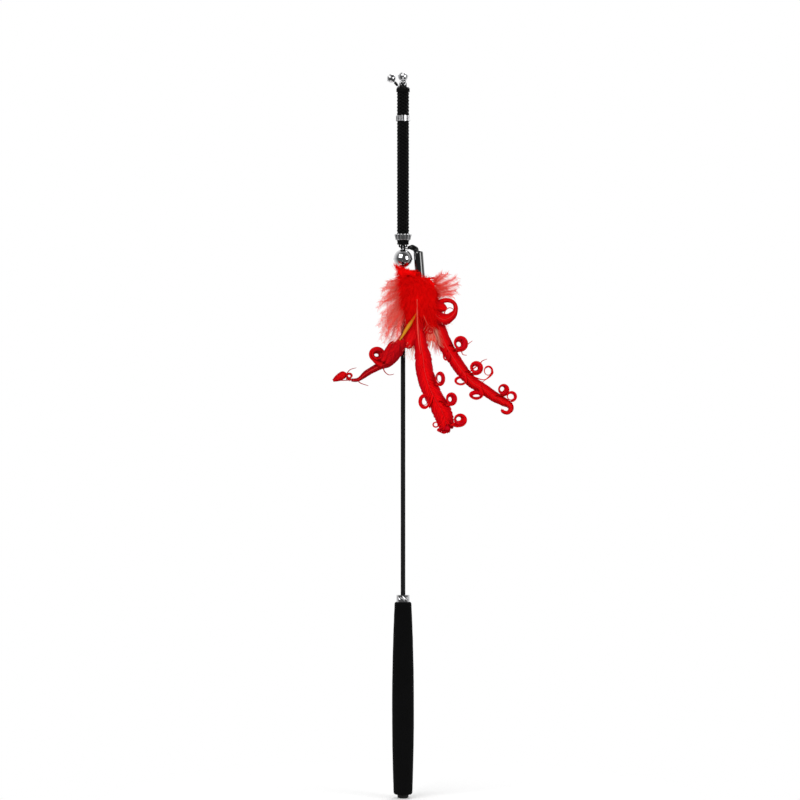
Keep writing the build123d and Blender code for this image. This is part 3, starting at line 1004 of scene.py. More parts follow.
@dataclass
class Bells:
    """Bright bells with their shanks and pellets, and the thread on the left shank."""

    sides: tuple[str, ...] = ("left", "right", "large")
    tie_start: Vector = field(default_factory=lambda: Vector((-2.3, 0.0, 459.2)))
    tie_end: Vector = field(default_factory=lambda: Vector((-8.8, 0.0, 466.6)))
    tie_foot: float = 2.6
    tie_stop: float = 3.7
    tie_r: float = 1.1
    tie_steps: int = 30
    thread_d: float = 0.45

    def build_tie(self) -> bpy.types.Object:
        """Thread wound on the left bell's shank.

        Returns:
            The thread.
        """
        along = (self.tie_end - self.tie_start).normalized()
        length = (self.tie_end - self.tie_start).length - self.tie_foot - self.tie_stop
        foot = self.tie_start + along * (self.tie_foot + self.thread_d / 2)
        out = along.orthogonal().normalized() * (self.tie_r - self.thread_d / 2)
        count = int(max(length / self.thread_d - 1, 1) * self.tie_steps)
        rise, side = along * self.thread_d, along.cross(out)
        line = winding(foot, rise, out, side, count, self.tie_steps)
        maker = MeshMaker()
        radii = [self.thread_d / 2] * len(line)
        maker.strand(line, radii, THREAD_SIDES, lobes=PLIES, twist=THREAD_TWIST)
        return maker.piece("left_shank_thread")

    def dress(self) -> None:
        """Finish the bells and wind the thread."""
        for side in self.sides:
            for part in ("upper_shell", "lower_shell", "shank"):
                dress_solids([f"{side}_bell_{part}"], CHROME)
            dress_solids([f"{side}_bell_pellet"], PELLET)
        settle(self.build_tie(), Body.WAND, ["left_bell_tie"], THREAD)


@dataclass
class Holder:
    """Tube that grips the quills, on the lace that arches out from under the strap."""

    top: Vector = field(default_factory=lambda: Vector((11.3, TOY_Y, SWING_Z - 2.8)))
    tilt: float = 4.5
    lace_r: float = 2.1
    lace_sides: int = 28
    lace_depth: float = 4.5
    lace_per_span: int = 2
    shoulder_x: float = -0.4
    shoulder_rise: float = 1.9
    start_x: float = 3.3
    start_drop: float = 0.3
    start_share: float = 0.3
    full_run: float = 3.2
    arch_x: float = 7.2
    arch_rise: float = 1.3
    bend_r: float = 2.4
    eye_x: float = 1.3
    eye_mean_r: float = 1.15
    eye_r: float = 0.35
    eye_sides: int = 12
    neck_x: float = 3.9
    neck_r: float = 0.4
    neck_bend_r: float = 0.6

    def build_lace(self) -> bpy.types.Object:
        """Lace with its eye round the strap's cord.

        Returns:
            The lace as one piece.
        """
        lean = math.radians(self.tilt)
        up = Vector((-math.sin(lean), 0, math.cos(lean)))
        start = Vector((self.start_x, TOY_Y, SWING_Z - self.start_drop))
        arch = Vector((self.arch_x, TOY_Y, SWING_Z + self.arch_rise))
        shoulder = self.top + Vector((self.shoulder_x, 0, self.shoulder_rise))
        stops = [start, arch, shoulder, self.top - up * self.lace_depth]
        path = smooth_line(rounded(stops, self.bend_r), self.lace_per_span)
        radii = []
        for spot in path:
            full = lerp(self.start_share, 1.0, (spot - start).length / self.full_run)
            radii.append(self.lace_r * min(full, 1.0))
        maker = MeshMaker()
        maker.strand(path, radii, self.lace_sides)
        low = SWING_Z - self.eye_mean_r
        stops = [
            Vector((self.eye_x, TOY_Y, low)),
            Vector((self.neck_x, TOY_Y, low)),
            Vector((self.neck_x + self.lace_r, TOY_Y, SWING_Z)),
        ]
        neck = rounded(stops, self.neck_bend_r)
        maker.strand(neck, [self.neck_r] * len(neck), self.eye_sides)
        eye = hoop(Vector((self.eye_x, TOY_Y, SWING_Z)), self.eye_mean_r)
        maker.strand(eye, [self.eye_r] * len(eye), self.eye_sides)
        return maker.piece("arched_lace")

    def dress(self) -> None:
        """Finish the tube and its plug and put the lace in place."""
        dress_solids(["feather_holder"], GLOSS_BLACK)
        dress_solids(["quill_plug"], PLASTIC)
        settle(self.build_lace(), Body.FEATHERS, ["holder_lace"], LACE)


@dataclass
class Blade:
    """A flat run of vane: a middle line with a width at each point.

    Args:
        line: Points of the middle line.
        widths: Width at each point.
        rolled: How many points at the end are rolled up.
        head_on: Least share of its direction in the picture's plane that still sets its width.
        roll_steps: Points in a turn of the roll.
        roll_taper: Share of radius and width that the roll loses.
        roll_shift: How far the roll moves along its axis.
    """

    line: list[Vector]
    widths: list[float]
    rolled: int = 0
    head_on: float = 0.05
    roll_steps: int = 18
    roll_taper: float = 0.35
    roll_shift: float = 1.6

    @classmethod
    def through(
        cls, points: Sequence[Vector], widths: Sequence[float], per_span: int = 20
    ) -> "Blade":
        """Blade that runs smoothly through points.

        Args:
            points: Points on its middle line.
            widths: Width at each point.
            per_span: Steps between two points.

        Returns:
            The blade.
        """
        fine = [row[0] for row in eased_rows([(width,) for width in widths], per_span)]
        return cls(smooth_line(points, per_span), fine)

    def along_at(self, index: int) -> Vector:
        """Direction in which the line leaves one of its points."""
        return tangents(self.line[max(index - 1, 0) : index + 2])[-1]

    def across_at(self, index: int) -> Vector:
        """Direction across the blade at a point of the line, level with the picture.

        Args:
            index: Number of the point.

        Returns:
            The unit direction.
        """
        along = self.along_at(index)
        flat = Vector((-along.z, 0, along.x))
        return flat.normalized() if flat.length > self.head_on else RIGHT.copy()

    def all_across(self) -> list[Vector]:
        """Direction across the blade at every point of the line."""
        return [self.across_at(index) for index in range(len(self.line))]

    def travel(self) -> list[float]:
        """Measure the line.

        Returns:
            Distance along the line at each of its points.
        """
        far = [0.0]
        for start, end in zip(self.line, self.line[1:]):
            far.append(far[-1] + (end - start).length)
        return far

    def roll_up(self, radius: float, turns: float) -> None:
        """Roll the blade's end up towards the front.

        Args:
            radius: Radius of the roll at its start.
            turns: Turns of the roll.
        """
        across = self.across_at(len(self.line) - 1)
        along = tangents(self.line)[-1]
        toward = across.cross(along).normalized()
        toward = toward if toward.y < 0 else -toward
        middle = self.line[-1] + toward * radius
        end_width = self.widths[-1]
        self.rolled = int(self.roll_steps * turns)
        for step in range(1, self.rolled + 1):
            share = step / self.rolled
            angle = math.tau * turns * share
            left = 1 - self.roll_taper * share
            offset = along * math.sin(angle) - toward * math.cos(angle)
            shift = across * self.roll_shift * share
            self.line.append(middle + offset * radius * left + shift)
            self.widths.append(end_width * left)


@dataclass
class Vane:
    """Barbs laid over a blade, each from the quill forward to the edge, on a thin web.

    Args:
        blade: Blade to cover.
        shades: Least and most tint of its barbs.
        web_share: Width of the web as a share of the blade's.
        web_t: Thickness of the web.
        gap: Distance from one barb to the next along the quill.
        run: Most length of a barb along the quill.
        run_share: Most length of a barb as a share of the blade's width.
        run_spread: Spread of the barbs' lengths.
        edge_spread: Spread of how far they reach past the edge.
        lift_spread: Spread of how high they lie.
        rise: Height of a barb over the middle line at the quill.
        cup: How far a barb curves back at the edge.
        splay: How early a barb turns outwards; less is earlier.
        least_w: Narrowest blade that has barbs.
        shortest: Shortest barb that is kept.
        barb_w: Width of a barb.
        barb_t: Thickness of a barb.
        taper: Width along a barb as shares of its full width.
    """

    blade: Blade
    shades: tuple[float, ...]
    web_share: float = 0.62
    web_t: float = 0.5
    gap: float = 0.34
    run: float = 10.0
    run_share: float = 1.4
    run_spread: Span = (0.8, 1.2)
    edge_spread: Span = (0.97, 1.1)
    lift_spread: Span = (-0.06, 0.08)
    rise: float = 0.34
    cup: float = 1.3
    splay: float = 0.7
    least_w: float = 1.6
    shortest: float = 1.0
    barb_w: float = 1.5
    barb_t: float = 0.12
    taper: tuple[float, ...] = (0.6, 0.9, 1.0, 1.0, 0.85, 0.4)
    travel: list[float] = field(init=False)
    across: list[Vector] = field(init=False)
    end: float = field(init=False)

    def __post_init__(self) -> None:
        """Measure the blade, up to where its rolled end starts."""
        self.travel = self.blade.travel()
        self.across = self.blade.all_across()
        self.end = self.travel[len(self.travel) - 1 - self.blade.rolled]

    def add_barb(self, maker: MeshMaker, draw: random.Random, first: int, side: int) -> None:
        """Lay one barb.

        Args:
            maker: Collects the barb.
            draw: Source of its small differences.
            first: Point of the quill that it leaves.
            side: -1 or 1 for the side it lies on.
        """
        most = min(self.run, self.run_share * self.blade.widths[first])
        run = most * draw.uniform(*self.run_spread)
        spread = draw.uniform(*self.edge_spread)
        lift = draw.uniform(*self.lift_spread)
        points, wide = [], []
        for step in range(len(self.taper)):
            share = step / (len(self.taper) - 1)
            far = min(self.travel[first] + run * share, self.end)
            index = bisect_left(self.travel, far - NEAR)
            across = self.across[index]
            out = side * self.blade.widths[index] / 2 * spread * share**self.splay
            up = across.cross(self.blade.along_at(index))
            up = up if up.y < 0 else -up
            height = self.rise - self.cup * share**2 + lift
            points.append(self.blade.line[index] + across * out + up * height)
            wide.append(across)
        if (points[-1] - points[0]).length >= self.shortest:
            widths = [self.barb_w * share for share in self.taper]
            shade = lerp(*self.shades, draw.random())
            maker.ribbon(points, wide, widths, self.barb_t, shade)

    def add(self, maker: MeshMaker, draw: random.Random) -> None:
        """Lay the web and all barbs.

        Args:
            maker: Collects them.
            draw: Source of the barbs' small differences.
        """
        widths = [width * self.web_share for width in self.blade.widths]
        maker.ribbon(self.blade.line, self.across, widths, self.web_t, sum(self.shades) / 2)
        where = 0.0
        while where < self.end - self.shortest:
            first = bisect_left(self.travel, where)
            where += self.gap
            if self.blade.widths[first] >= self.least_w:
                for side in (-1, 1):
                    self.add_barb(maker, draw, first, side)


@dataclass
class Ringlet:
    """Barbs that have curled up beside a vane: bands that leave it and wind up in each other.

    Args:
        across: Distance of its middle across the bunch.
        down: Distance of its middle below the holder.
        width: Width in the front view.
        height: Height in the front view.
        yaw: Turn of its axis to the side, in degrees.
        pitch: Turn of its axis upwards, in degrees.
        turns: Turns of the outer band.
        band: Width of the outer band.
        thick: Thickness of a band.
        lean: How far a band leans out from the axis, in degrees.
        locks: Count of bands.
        lock_inset: How far each band lies inside the one before, as a share of its shown width.
        lock_slip: How far it is moved along the axis, as a share of the band.
        lock_loss: Share of its turns that each band loses.
        lock_taper: Share of its width that each band loses.
        turn_play: Most extra turns by chance.
        front: How far its middle lies in front of the vane.
        steps: Points in a turn.
        late: Part of a turn after which the ring starts.
        shrink: Share of its radius that the ring loses in a turn.
        shrink_power: How late it loses it.
        slope: How much of the axis's lean shows in depth.
        slip: How far the ring moves along the axis, as a share of the band.
        slip_middle: Part of the ring that stays in place.
        lead_back: Points of the vane that the band starts before the ring.
        lead_front: How far in front of the vane it starts.
        lead_share: Where along it the lead bends.
        lead_pull: How far it follows the vane.
        lead_steps: Points from one stop of the lead to the next.
        root_w: Width at its start as a share of the band.
        taper: Share that it loses up to its end.
        taper_power: How late it loses it.
        tints: Least and most tint.
    """

    across: float
    down: float
    width: float
    height: float
    yaw: float
    pitch: float
    turns: float
    band: float
    thick: float = 0.3
    lean: float = 50.0
    locks: int = 3
    lock_inset: float = 0.25
    lock_slip: float = 0.22
    lock_loss: float = 0.12
    lock_taper: float = 0.3
    turn_play: float = 0.12
    front: float = 0.4
    steps: int = 26
    late: float = 0.16
    shrink: float = 0.20
    shrink_power: float = 1.3
    slope: float = 0.6
    slip: float = 0.30
    slip_middle: float = 0.4
    lead_back: int = 3
    lead_front: float = 0.3
    lead_share: float = 0.6
    lead_pull: float = 0.12
    lead_steps: int = 5
    root_w: float = 1.3
    taper: float = 0.95
    taper_power: float = 1.2
    tints: Span = (0.1, 0.8)

    def axis(self) -> Vector:
        """Direction that the bands wind round.

        Returns:
            The unit direction, towards the front.
        """
        yaw, pitch = math.radians(self.yaw), math.radians(self.pitch)
        ahead = -math.cos(yaw) * math.cos(pitch)
        return Vector((math.sin(yaw), ahead, math.sin(pitch))).normalized()

    def wind(
        self, middle: Vector, entry: float, sense: int, lock: int, turns: float
    ) -> tuple[list[Vector], list[Vector]]:
        """Wind one band.

        Args:
            middle: Middle of the ringlet.
            entry: Angle at which the band leaves the vane.
            sense: 1 or -1 for the way it winds.
            lock: Number of the band from the outside.
            turns: Its turns.

        Returns:
            Points of its middle line, and the direction of its width at each.
        """
        axis = self.axis()
        lean = math.radians(self.lean)
        shown = self.band * math.sin(lean)
        half_x = (self.width - shown) / 2 - self.lock_inset * shown * lock
        half_z = (self.height - shown) / 2 - self.lock_inset * shown * lock
        ring, wide = [], []
        steps = int(self.steps * turns)
        for step in range(steps + 1):
            share = step / steps
            angle = entry + sense * math.tau * (self.late + turns * share)
            left = 1 - self.shrink * turns * share**self.shrink_power
            spot = Vector((math.cos(angle) * half_x, 0, math.sin(angle) * half_z)) * left
            slide = (axis.x * spot.x + axis.z * spot.z) / axis.y * self.slope
            slip = self.slip * (share - self.slip_middle) - self.lock_slip * lock
            ring.append(middle + spot + FRONT * slide + axis * self.band * slip)
            wide.append(axis * math.cos(lean) + spot.normalized() * math.sin(lean))
        return ring, wide

    def add(self, maker: MeshMaker, blade: Blade, middle: Vector, draw: random.Random) -> None:
        """Lead the bands off the vane and wind them up beside it.

        Args:
            maker: Collects the bands.
            blade: Vane that they leave.
            middle: Middle of the ringlet in the feather's layer.
            draw: Source of their small differences.
        """
        flat = [Vector((point.x - middle.x, 0, point.z - middle.z)) for point in blade.line]
        index = min(range(len(flat)), key=lambda i: flat[i].length)
        middle.y = blade.line[index].y - self.front
        along = blade.along_at(index)
        sense = 1 if along.z * flat[index].x - along.x * flat[index].z > 0 else -1
        entry = math.atan2(-sense * along.x, sense * along.z)
        start = blade.line[max(index - self.lead_back, 0)] + FRONT * self.lead_front
        level = blade.across_at(index)
        for lock in range(self.locks):
            turns = self.turns * (1 - self.lock_loss * lock) + self.turn_play * draw.random()
            ring, wide = self.wind(middle, entry, sense, lock, turns)
            bend = start.lerp(ring[0], self.lead_share)
            bend += (blade.line[index] - start) * self.lead_pull
            lead = smooth_line([start, bend, ring[0]], self.lead_steps)[:-1]
            turned = [level.lerp(wide[0], step / len(lead)) for step in range(len(lead))]
            path = lead + ring
            widths = []
            for step in range(len(path)):
                share = step / (len(path) - 1)
                left = self.root_w - self.taper * share**self.taper_power
                widths.append(self.band * (1 - self.lock_taper * lock) * left)
            maker.ribbon(path, turned + wide, widths, self.thick, draw.uniform(*self.tints))


@dataclass
class CurledFeather:
    """A narrow feather: its vane of barbs, its quill, and ringlets where barbs have curled up.

    Args:
        name: Name of the vane.
        node: Solid that the feather stands for.
        finish: Finish of the vane.
        layer: How far the feather lies behind the holder's middle.
        bow: How far its end bows to the front.
        drop: Distance down to its end.
        rachis: Rows of distance across, distance down and width.
        curls: Rows of a ringlet's place across and down, its width and height, the yaw and pitch
            of its axis in degrees, its turns and the width of its band.
        leaves: Loose vanes beside the quill; rows of across, down, front and width.
        hooks: Single barbs that stand off; rows of across and down.
        end_roll: Radius and turns of the rolled end, or nothing.
        shades: Least and most tint of the main vane's barbs, then of each leaf's.
        seed: Start of its random draws.
        bow_start: Share of the drop at which the bow starts.
        hook_r: Radius of a hook at its foot and its tip.
        hook_gap: Most distance from a hook to the vane without a joining run.
        quill_share: Share of the vane that carries the quill.
        quill_w: Width of the quill at its root and its tip.
        quill_t: Thickness of the quill.
        quill_front: How far the quill lies in front of the vane.
    """

    name: str
    node: str
    finish: Finish
    layer: float
    bow: float
    drop: float
    rachis: Rows
    curls: Rows = ()
    leaves: Sequence[Rows] = ()
    hooks: Sequence[Rows] = ()
    end_roll: Span = (0.0, 0.0)
    shades: Rows = ((0.0, 1.0),)
    seed: int = 1
    bow_start: float = 0.5
    hook_r: Span = (0.58, 0.2)
    hook_gap: float = 1.0
    hook_steps: int = 8
    hook_sides: int = 5
    hook_shade: float = 0.1
    quill_share: float = 0.86
    quill_w: Span = (0.9, 0.3)
    quill_t: float = 0.6
    quill_front: float = 0.45
    quill_shade: float = 0.3

    def place(self, across: float, down: float, front: float = 0.0) -> Vector:
        """Point of the feather in its own layer, which bows to the front.

        Args:
            across: Distance across.
            down: Distance down.
            front: Distance in front of the layer.

        Returns:
            The point.
        """
        bend = max(down / self.drop - self.bow_start, 0) / (1 - self.bow_start)
        return below_mouth(across, down, self.bow * bend**2 - self.layer + front)

    def blade(self) -> Blade:
        """Lay out the feather's main vane with its rolled end.

        Returns:
            The vane's blade.
        """
        points = [self.place(x, z) for x, z, _ in self.rachis]
        made = Blade.through(points, [row[-1] for row in self.rachis])
        radius, turns = self.end_roll
        if turns:
            made.roll_up(radius, turns)
        return made

    def add_hook(self, maker: MeshMaker, blade: Blade, hook: Rows) -> None:
        """Add a single barb that stands off, joined to the nearest point of the vane.

        Args:
            maker: Collects the barb.
            blade: Vane that it stands off from.
            hook: Rows of across and down.
        """
        stops = [self.place(x, z) for x, z in hook]
        foot = min(blade.line, key=lambda point: (point - stops[0]).length)
        if (foot - stops[0]).length > self.hook_gap:
            stops.insert(0, foot)
        line = smooth_line(stops, self.hook_steps)
        radii = [lerp(*self.hook_r, step / (len(line) - 1)) for step in range(len(line))]
        maker.strand(line, radii, self.hook_sides, self.hook_shade)

    def build_vane(self, blade: Blade) -> bpy.types.Object:
        """Vane, leaves, ringlets and loose barbs of the feather.

        Args:
            blade: Its main vane.

        Returns:
            The feather without its quill.
        """
        draw = random.Random(self.seed)
        maker = MeshMaker()
        Vane(blade, self.shades[0]).add(maker, draw)
        for leaf, shades in zip(self.leaves, self.shades[1:]):
            points = [self.place(x, z, front) for x, z, front, _ in leaf]
            Vane(Blade.through(points, [row[-1] for row in leaf]), shades).add(maker, draw)
        for row in self.curls:
            ringlet = Ringlet(*row)
            ringlet.add(maker, blade, self.place(ringlet.across, ringlet.down), draw)
        for hook in self.hooks:
            self.add_hook(maker, blade, hook)
        return maker.piece(self.name)

    def build_quill(self, blade: Blade) -> bpy.types.Object:
        """Quill from the holder's mouth to near the tip, on the front of the barbs.

        Args:
            blade: Vane that it carries.

        Returns:
            The quill as one closed ribbon.
        """
        keep = int(len(blade.line) * self.quill_share)
        root = blade.line[0].copy()
        root.z = MOUTH.z
        line = [root] + [point + FRONT * self.quill_front for point in blade.line[1:keep]]
        widths = [lerp(*self.quill_w, step / (keep - 1)) for step in range(keep)]
        across = [RIGHT] + blade.all_across()[1:keep]
        maker = MeshMaker()
        maker.ribbon(line, across, widths, self.quill_t, self.quill_shade)
        return maker.piece(f"{self.name}_quill")

    def dress(self) -> None:
        """Put the feather in place of its solid."""
        blade = self.blade()
        settle(self.build_vane(blade), Body.FEATHERS, [self.node], self.finish)
        settle(self.build_quill(blade), Body.FEATHERS, [], QUILL)


@dataclass
class BareQuill:
    """A length of stripped quill that shows in front of the fluff.

    Args:
        name: Name of the piece.
        finish: Its finish.
        rows: Rows of across, down, front and width.
        thick: Its thickness.
        shade: Its tint.
        per_span: Steps between two rows.
    """

    name: str
    finish: Finish
    rows: Rows
    thick: float = 0.8
    shade: float = 0.6
    per_span: int = 10

    def dress(self) -> None:
        """Lay the quill on the front of the bunch."""
        points = [below_mouth(x, z, front) for x, z, front, _ in self.rows]
        blade = Blade.through(points, [row[-1] for row in self.rows], self.per_span)
        maker = MeshMaker()
        maker.ribbon(blade.line, blade.all_across(), blade.widths, self.thick, self.shade)
        settle(maker.piece(self.name), Body.FEATHERS, [], self.finish)


def add_fibre(
    maker: MeshMaker,
    draw: random.Random,
    root: Vector,
    heading: Vector,
    length: float,
    droop: float,
    radius: float,
) -> list[Vector]:
    """Add one soft fibre that leaves its root along a heading and sinks under its weight.

    Args:
        maker: Collects the fibre.
        draw: Source of its small waves.
        root: Where it starts.
        heading: Direction at its root.
        length: Its length.
        droop: How far it sinks, as a share of its length.
        radius: Radius at its root.

    Returns:
        Points along the fibre.
    """
    sway = Vector([draw.uniform(-reach, reach) for reach in FIBRE_SWAY]) * length
    line, radii = [], []
    for step in range(FIBRE_STEPS + 1):
        share = step / FIBRE_STEPS
        wave = sway * math.sin(share * FIBRE_WAVE) * share
        sink = UP * droop * length * share**2
        line.append(root + heading * length * share - sink + wave)
        radii.append(radius * (1 - FIBRE_TAPER * share))
    maker.strand(line, radii, shade=draw.random())
    return line


@dataclass
class Fluff:
    """Half of the dense fluff round the quills: a soft body with fibres all over it.

    Args:
        name: Name of the piece.
        node: Solid that it stands for.
        rows: Rows of distance down, left edge, right edge and depth.
        face: Where its flat side lies, in front of the holder's middle.
        half: Which half it is.
        fibres: Count of fibres.
        fibre_length: Their length.
        most_y: Farthest back that a fibre reaches.
        crest: Locks that stand up; rows of a root's and a tip's across, down and front.
        lock: Fibres in a lock.
        seed: Start of its random draws.
        lump: Height of the soft body's lumps, and lump_rate how close they lie.
        square: How square its section is; less is squarer.
        flat_depth: Bulge of its flat side.
        wrap: Angle by which fibres root past its edges.
        stand: How far a fibre stands off at the top, and stand_loss what is lost at the foot.
        rise: How far the top fibres point up, and rise_loss what is lost with each millimetre.
        hang: How far a fibre points down at the top, and hang_gain what is gained at the foot.
        stray: How far a fibre strays to the sides and in depth.
        flatten: Share of a fibre's direction in depth that is kept.
        sunk: How deep a fibre roots.
        crest_root: Spreads across and down of the roots in a lock, and crest_tip of their tips.
        crest_spread: Spread of their lengths.
        ragged: Depth of the back's hollows by place and by chance, and ragged_rate their closeness.
    """

    name: str
    node: str
    rows: Rows
    face: float
    half: Half
    fibres: int
    fibre_length: float
    most_y: float
    crest: Rows = ()
    lock: int = 70
    seed: int = 3
    sides: int = 44
    per_span: int = 5
    lump: float = 0.35
    lump_rate: float = 0.32
    square: float = 0.72
    flat_depth: float = 0.4
    least_depth: float = 2.0
    wrap: float = 0.15
    stand: float = 0.75
    stand_loss: float = 0.35
    rise: float = 0.62
    rise_loss: float = 0.10
    hang: float = 0.45
    hang_gain: float = 0.7
    stray: Span = (0.35, 0.1)
    flatten: float = 0.6
    sunk: float = 0.6
    fibre_r: float = 0.2
    droop: float = 0.2
    crest_droop: float = 0.04
    crest_root: tuple[Span, Span] = ((-1.5, 1.5), (-0.5, 1.5))
    crest_tip: tuple[Span, Span] = ((-1.3, 1.3), (-0.6, 1.6))
    crest_spread: Span = (0.55, 1.0)
    ragged: Span = (1.5, 0.9)
    ragged_rate: float = 0.3

    def spot(self, row: tuple[float, ...], angle: float) -> tuple[Vector, Vector]:
        """Point and outward direction on the soft body.

        Args:
            row: Row of the body at that height.
            angle: Angle round the upright axis.

        Returns:
            The point and its unit normal.
        """
        down, left, right, depth = row
        toward = self.half.value
        reach = (right - left) / 2
        east = math.copysign(abs(math.cos(angle)) ** self.square, math.cos(angle))
        north = math.copysign(abs(math.sin(angle)) ** self.square, math.sin(angle))
        deep = depth if north > 0 else self.flat_depth
        front = self.face - toward * deep * north
        point = below_mouth((left + right) / 2 + reach * east, down, front)
        bulge = toward * math.sin(angle) / max(deep, self.least_depth)
        normal = Vector((math.cos(angle) / reach, bulge, 0)).normalized()
        swell = self.lump * noise.noise(point * self.lump_rate + RIGHT * self.seed)
        return point + normal * swell, normal

    def build(self) -> bpy.types.Object:
        """Soft body with its fibres.

        Returns:
            The fluff as one piece.
        """
        maker = MeshMaker()
        fine = eased_rows(self.rows, self.per_span)
        angles = [math.tau * side / self.sides for side in range(self.sides)]
        maker.rings([[self.spot(row, angle)[0] for angle in angles] for row in fine], MID_SHADE)
        draw = random.Random(self.seed)
        for _ in range(self.fibres):
            self.add_surface_fibre(maker, draw, fine[draw.randrange(len(fine))])
        self.add_crest(maker, draw)
        return maker.piece(self.name)

    def add_surface_fibre(
        self, maker: MeshMaker, draw: random.Random, row: tuple[float, ...]
    ) -> None:
        """Add one fibre, cut back where it would reach behind the fluff.

        Args:
            maker: Collects the fibre.
            draw: Source of its small differences.
            row: Row of the body that it roots in.
        """
        point, normal = self.spot(row, draw.uniform(-self.wrap, math.pi + self.wrap))
        share = max(row[0], 0) / self.rows[-1][0]
        rise = max(self.rise - self.rise_loss * (row[0] - self.rows[0][0]), 0.0)
        side, depth = (draw.uniform(-stray, stray) for stray in self.stray)
        lean = Vector((side, depth, rise - self.hang - self.hang_gain * share))
        heading = normal * (self.stand - self.stand_loss * share) + lean
        heading.y *= self.flatten
        heading.normalize()
        length = self.fibre_length * draw.uniform(*LENGTH_SPREAD)
        before = len(maker.points)
        root = point - normal * self.sunk
        add_fibre(maker, draw, root, heading, length, self.droop, self.fibre_r)
        by_place, by_chance = self.ragged
        hollow = by_place * abs(noise.noise(point * self.ragged_rate)) + by_chance * draw.random()
        for fibre_point in maker.points[before:]:
            fibre_point.y = min(fibre_point.y, self.most_y - hollow)

    def add_crest(self, maker: MeshMaker, draw: random.Random) -> None:
        """Add the locks that stand up from the fluff.

        Args:
            maker: Collects their fibres.
            draw: Source of their small differences.
        """
        for x, z, front, tip_x, tip_z, tip_front in self.crest:
            for _ in range(self.lock):
                aside, below = (draw.uniform(*span) for span in self.crest_root)
                root = below_mouth(x + aside, z + below, front)
                aside, below = (draw.uniform(*span) for span in self.crest_tip)
                run = below_mouth(tip_x + aside, tip_z + below, tip_front) - root
                length = run.length * draw.uniform(*self.crest_spread)
                heading = run.normalized()
                add_fibre(maker, draw, root, heading, length, self.crest_droop, self.fibre_r)

    def dress(self) -> None:
        """Put the fluff in place of its solid."""
        settle(self.build(), Body.FEATHERS, [self.node], RED_FLUFF)


@dataclass
class Down:
    """A tuft of thin down: plumes with fine barbs on both sides of a hair-thin shaft.

    Args:
        name: Name of the piece.
        node: Solid that it stands for.
        layer: How far it lies behind the holder's middle.
        plumes: Rows of a root's and a tip's across and down.
        finish: Its finish.
        barb_length: Length of the barbs.
        lift: Farthest that a tip lies in front of the layer.
        sink: Farthest that a tip lies behind the layer.
        barbs: Barbs on a plume.
        seed: Start of its random draws.
        root_spread: How far the roots lie in front of the layer.
        arch: How far a plume rises before it droops.
        bare: Share of the shaft without barbs at its root.
        ahead: How far a barb points along the shaft.
        aside: How far it points to the side.
        stray: How far it strays in depth.
        taper: Share of their length that the barbs lose up to the tip.
    """

    name: str
    node: str
    layer: float
    plumes: Rows
    finish: Finish = PALE_DOWN
    barb_length: float = 7.0
    lift: float = 3.0
    sink: float = 1.6
    barbs: int = 84
    seed: int = 7
    root_spread: Span = (-1.0, 1.5)
    arch: float = 0.22
    droop: float = 0.22
    bare: float = 0.08
    ahead: float = 0.8
    aside: float = 0.62
    stray: float = 0.3
    taper: float = 0.35
    shaft_r: float = 0.26
    shaft_per_span: int = 12
    barb_r: float = 0.15

    def add_barbs(self, maker: MeshMaker, draw: random.Random, shaft: Sequence[Vector]) -> None:
        """Add the barbs of one plume, on both sides in turn.

        Args:
            maker: Collects the barbs.
            draw: Source of their small differences.
            shaft: Points along the plume's shaft.
        """
        directions = tangents(shaft)
        for index in range(self.barbs):
            share = self.bare + (1 - self.bare) * index / self.barbs
            spot = int(share * (len(shaft) - 1))
            along = directions[spot]
            side = Vector((-along.z, 0, along.x)) * (1 if index % 2 else -1)
            depth = Vector((0, draw.uniform(-self.stray, self.stray), 0))
            out = (along * self.ahead + side * self.aside + depth).normalized()
            length = self.barb_length * draw.uniform(*LENGTH_SPREAD) * (1 - self.taper * share)
            add_fibre(maker, draw, shaft[spot], out, length, self.droop, self.barb_r)

    def build(self) -> bpy.types.Object:
        """All plumes of the tuft.

        Returns:
            The tuft as one piece.
        """
        maker = MeshMaker()
        draw = random.Random(self.seed)
        for root_x, root_z, tip_x, tip_z in self.plumes:
            root = below_mouth(root_x, root_z, draw.uniform(*self.root_spread) - self.layer)
            tip = below_mouth(tip_x, tip_z, draw.uniform(-self.sink, self.lift) - self.layer)
            run = tip - root
            heading = run.normalized() + UP * self.arch
            shaft = add_fibre(maker, draw, root, heading, run.length, self.droop, self.shaft_r)
            self.add_barbs(maker, draw, smooth_line(shaft, self.shaft_per_span))
        return maker.piece(self.name)

    def dress(self) -> None:
        """Put the tuft in place of its solid."""
        settle(self.build(), Body.FEATHERS, [self.node], self.finish)


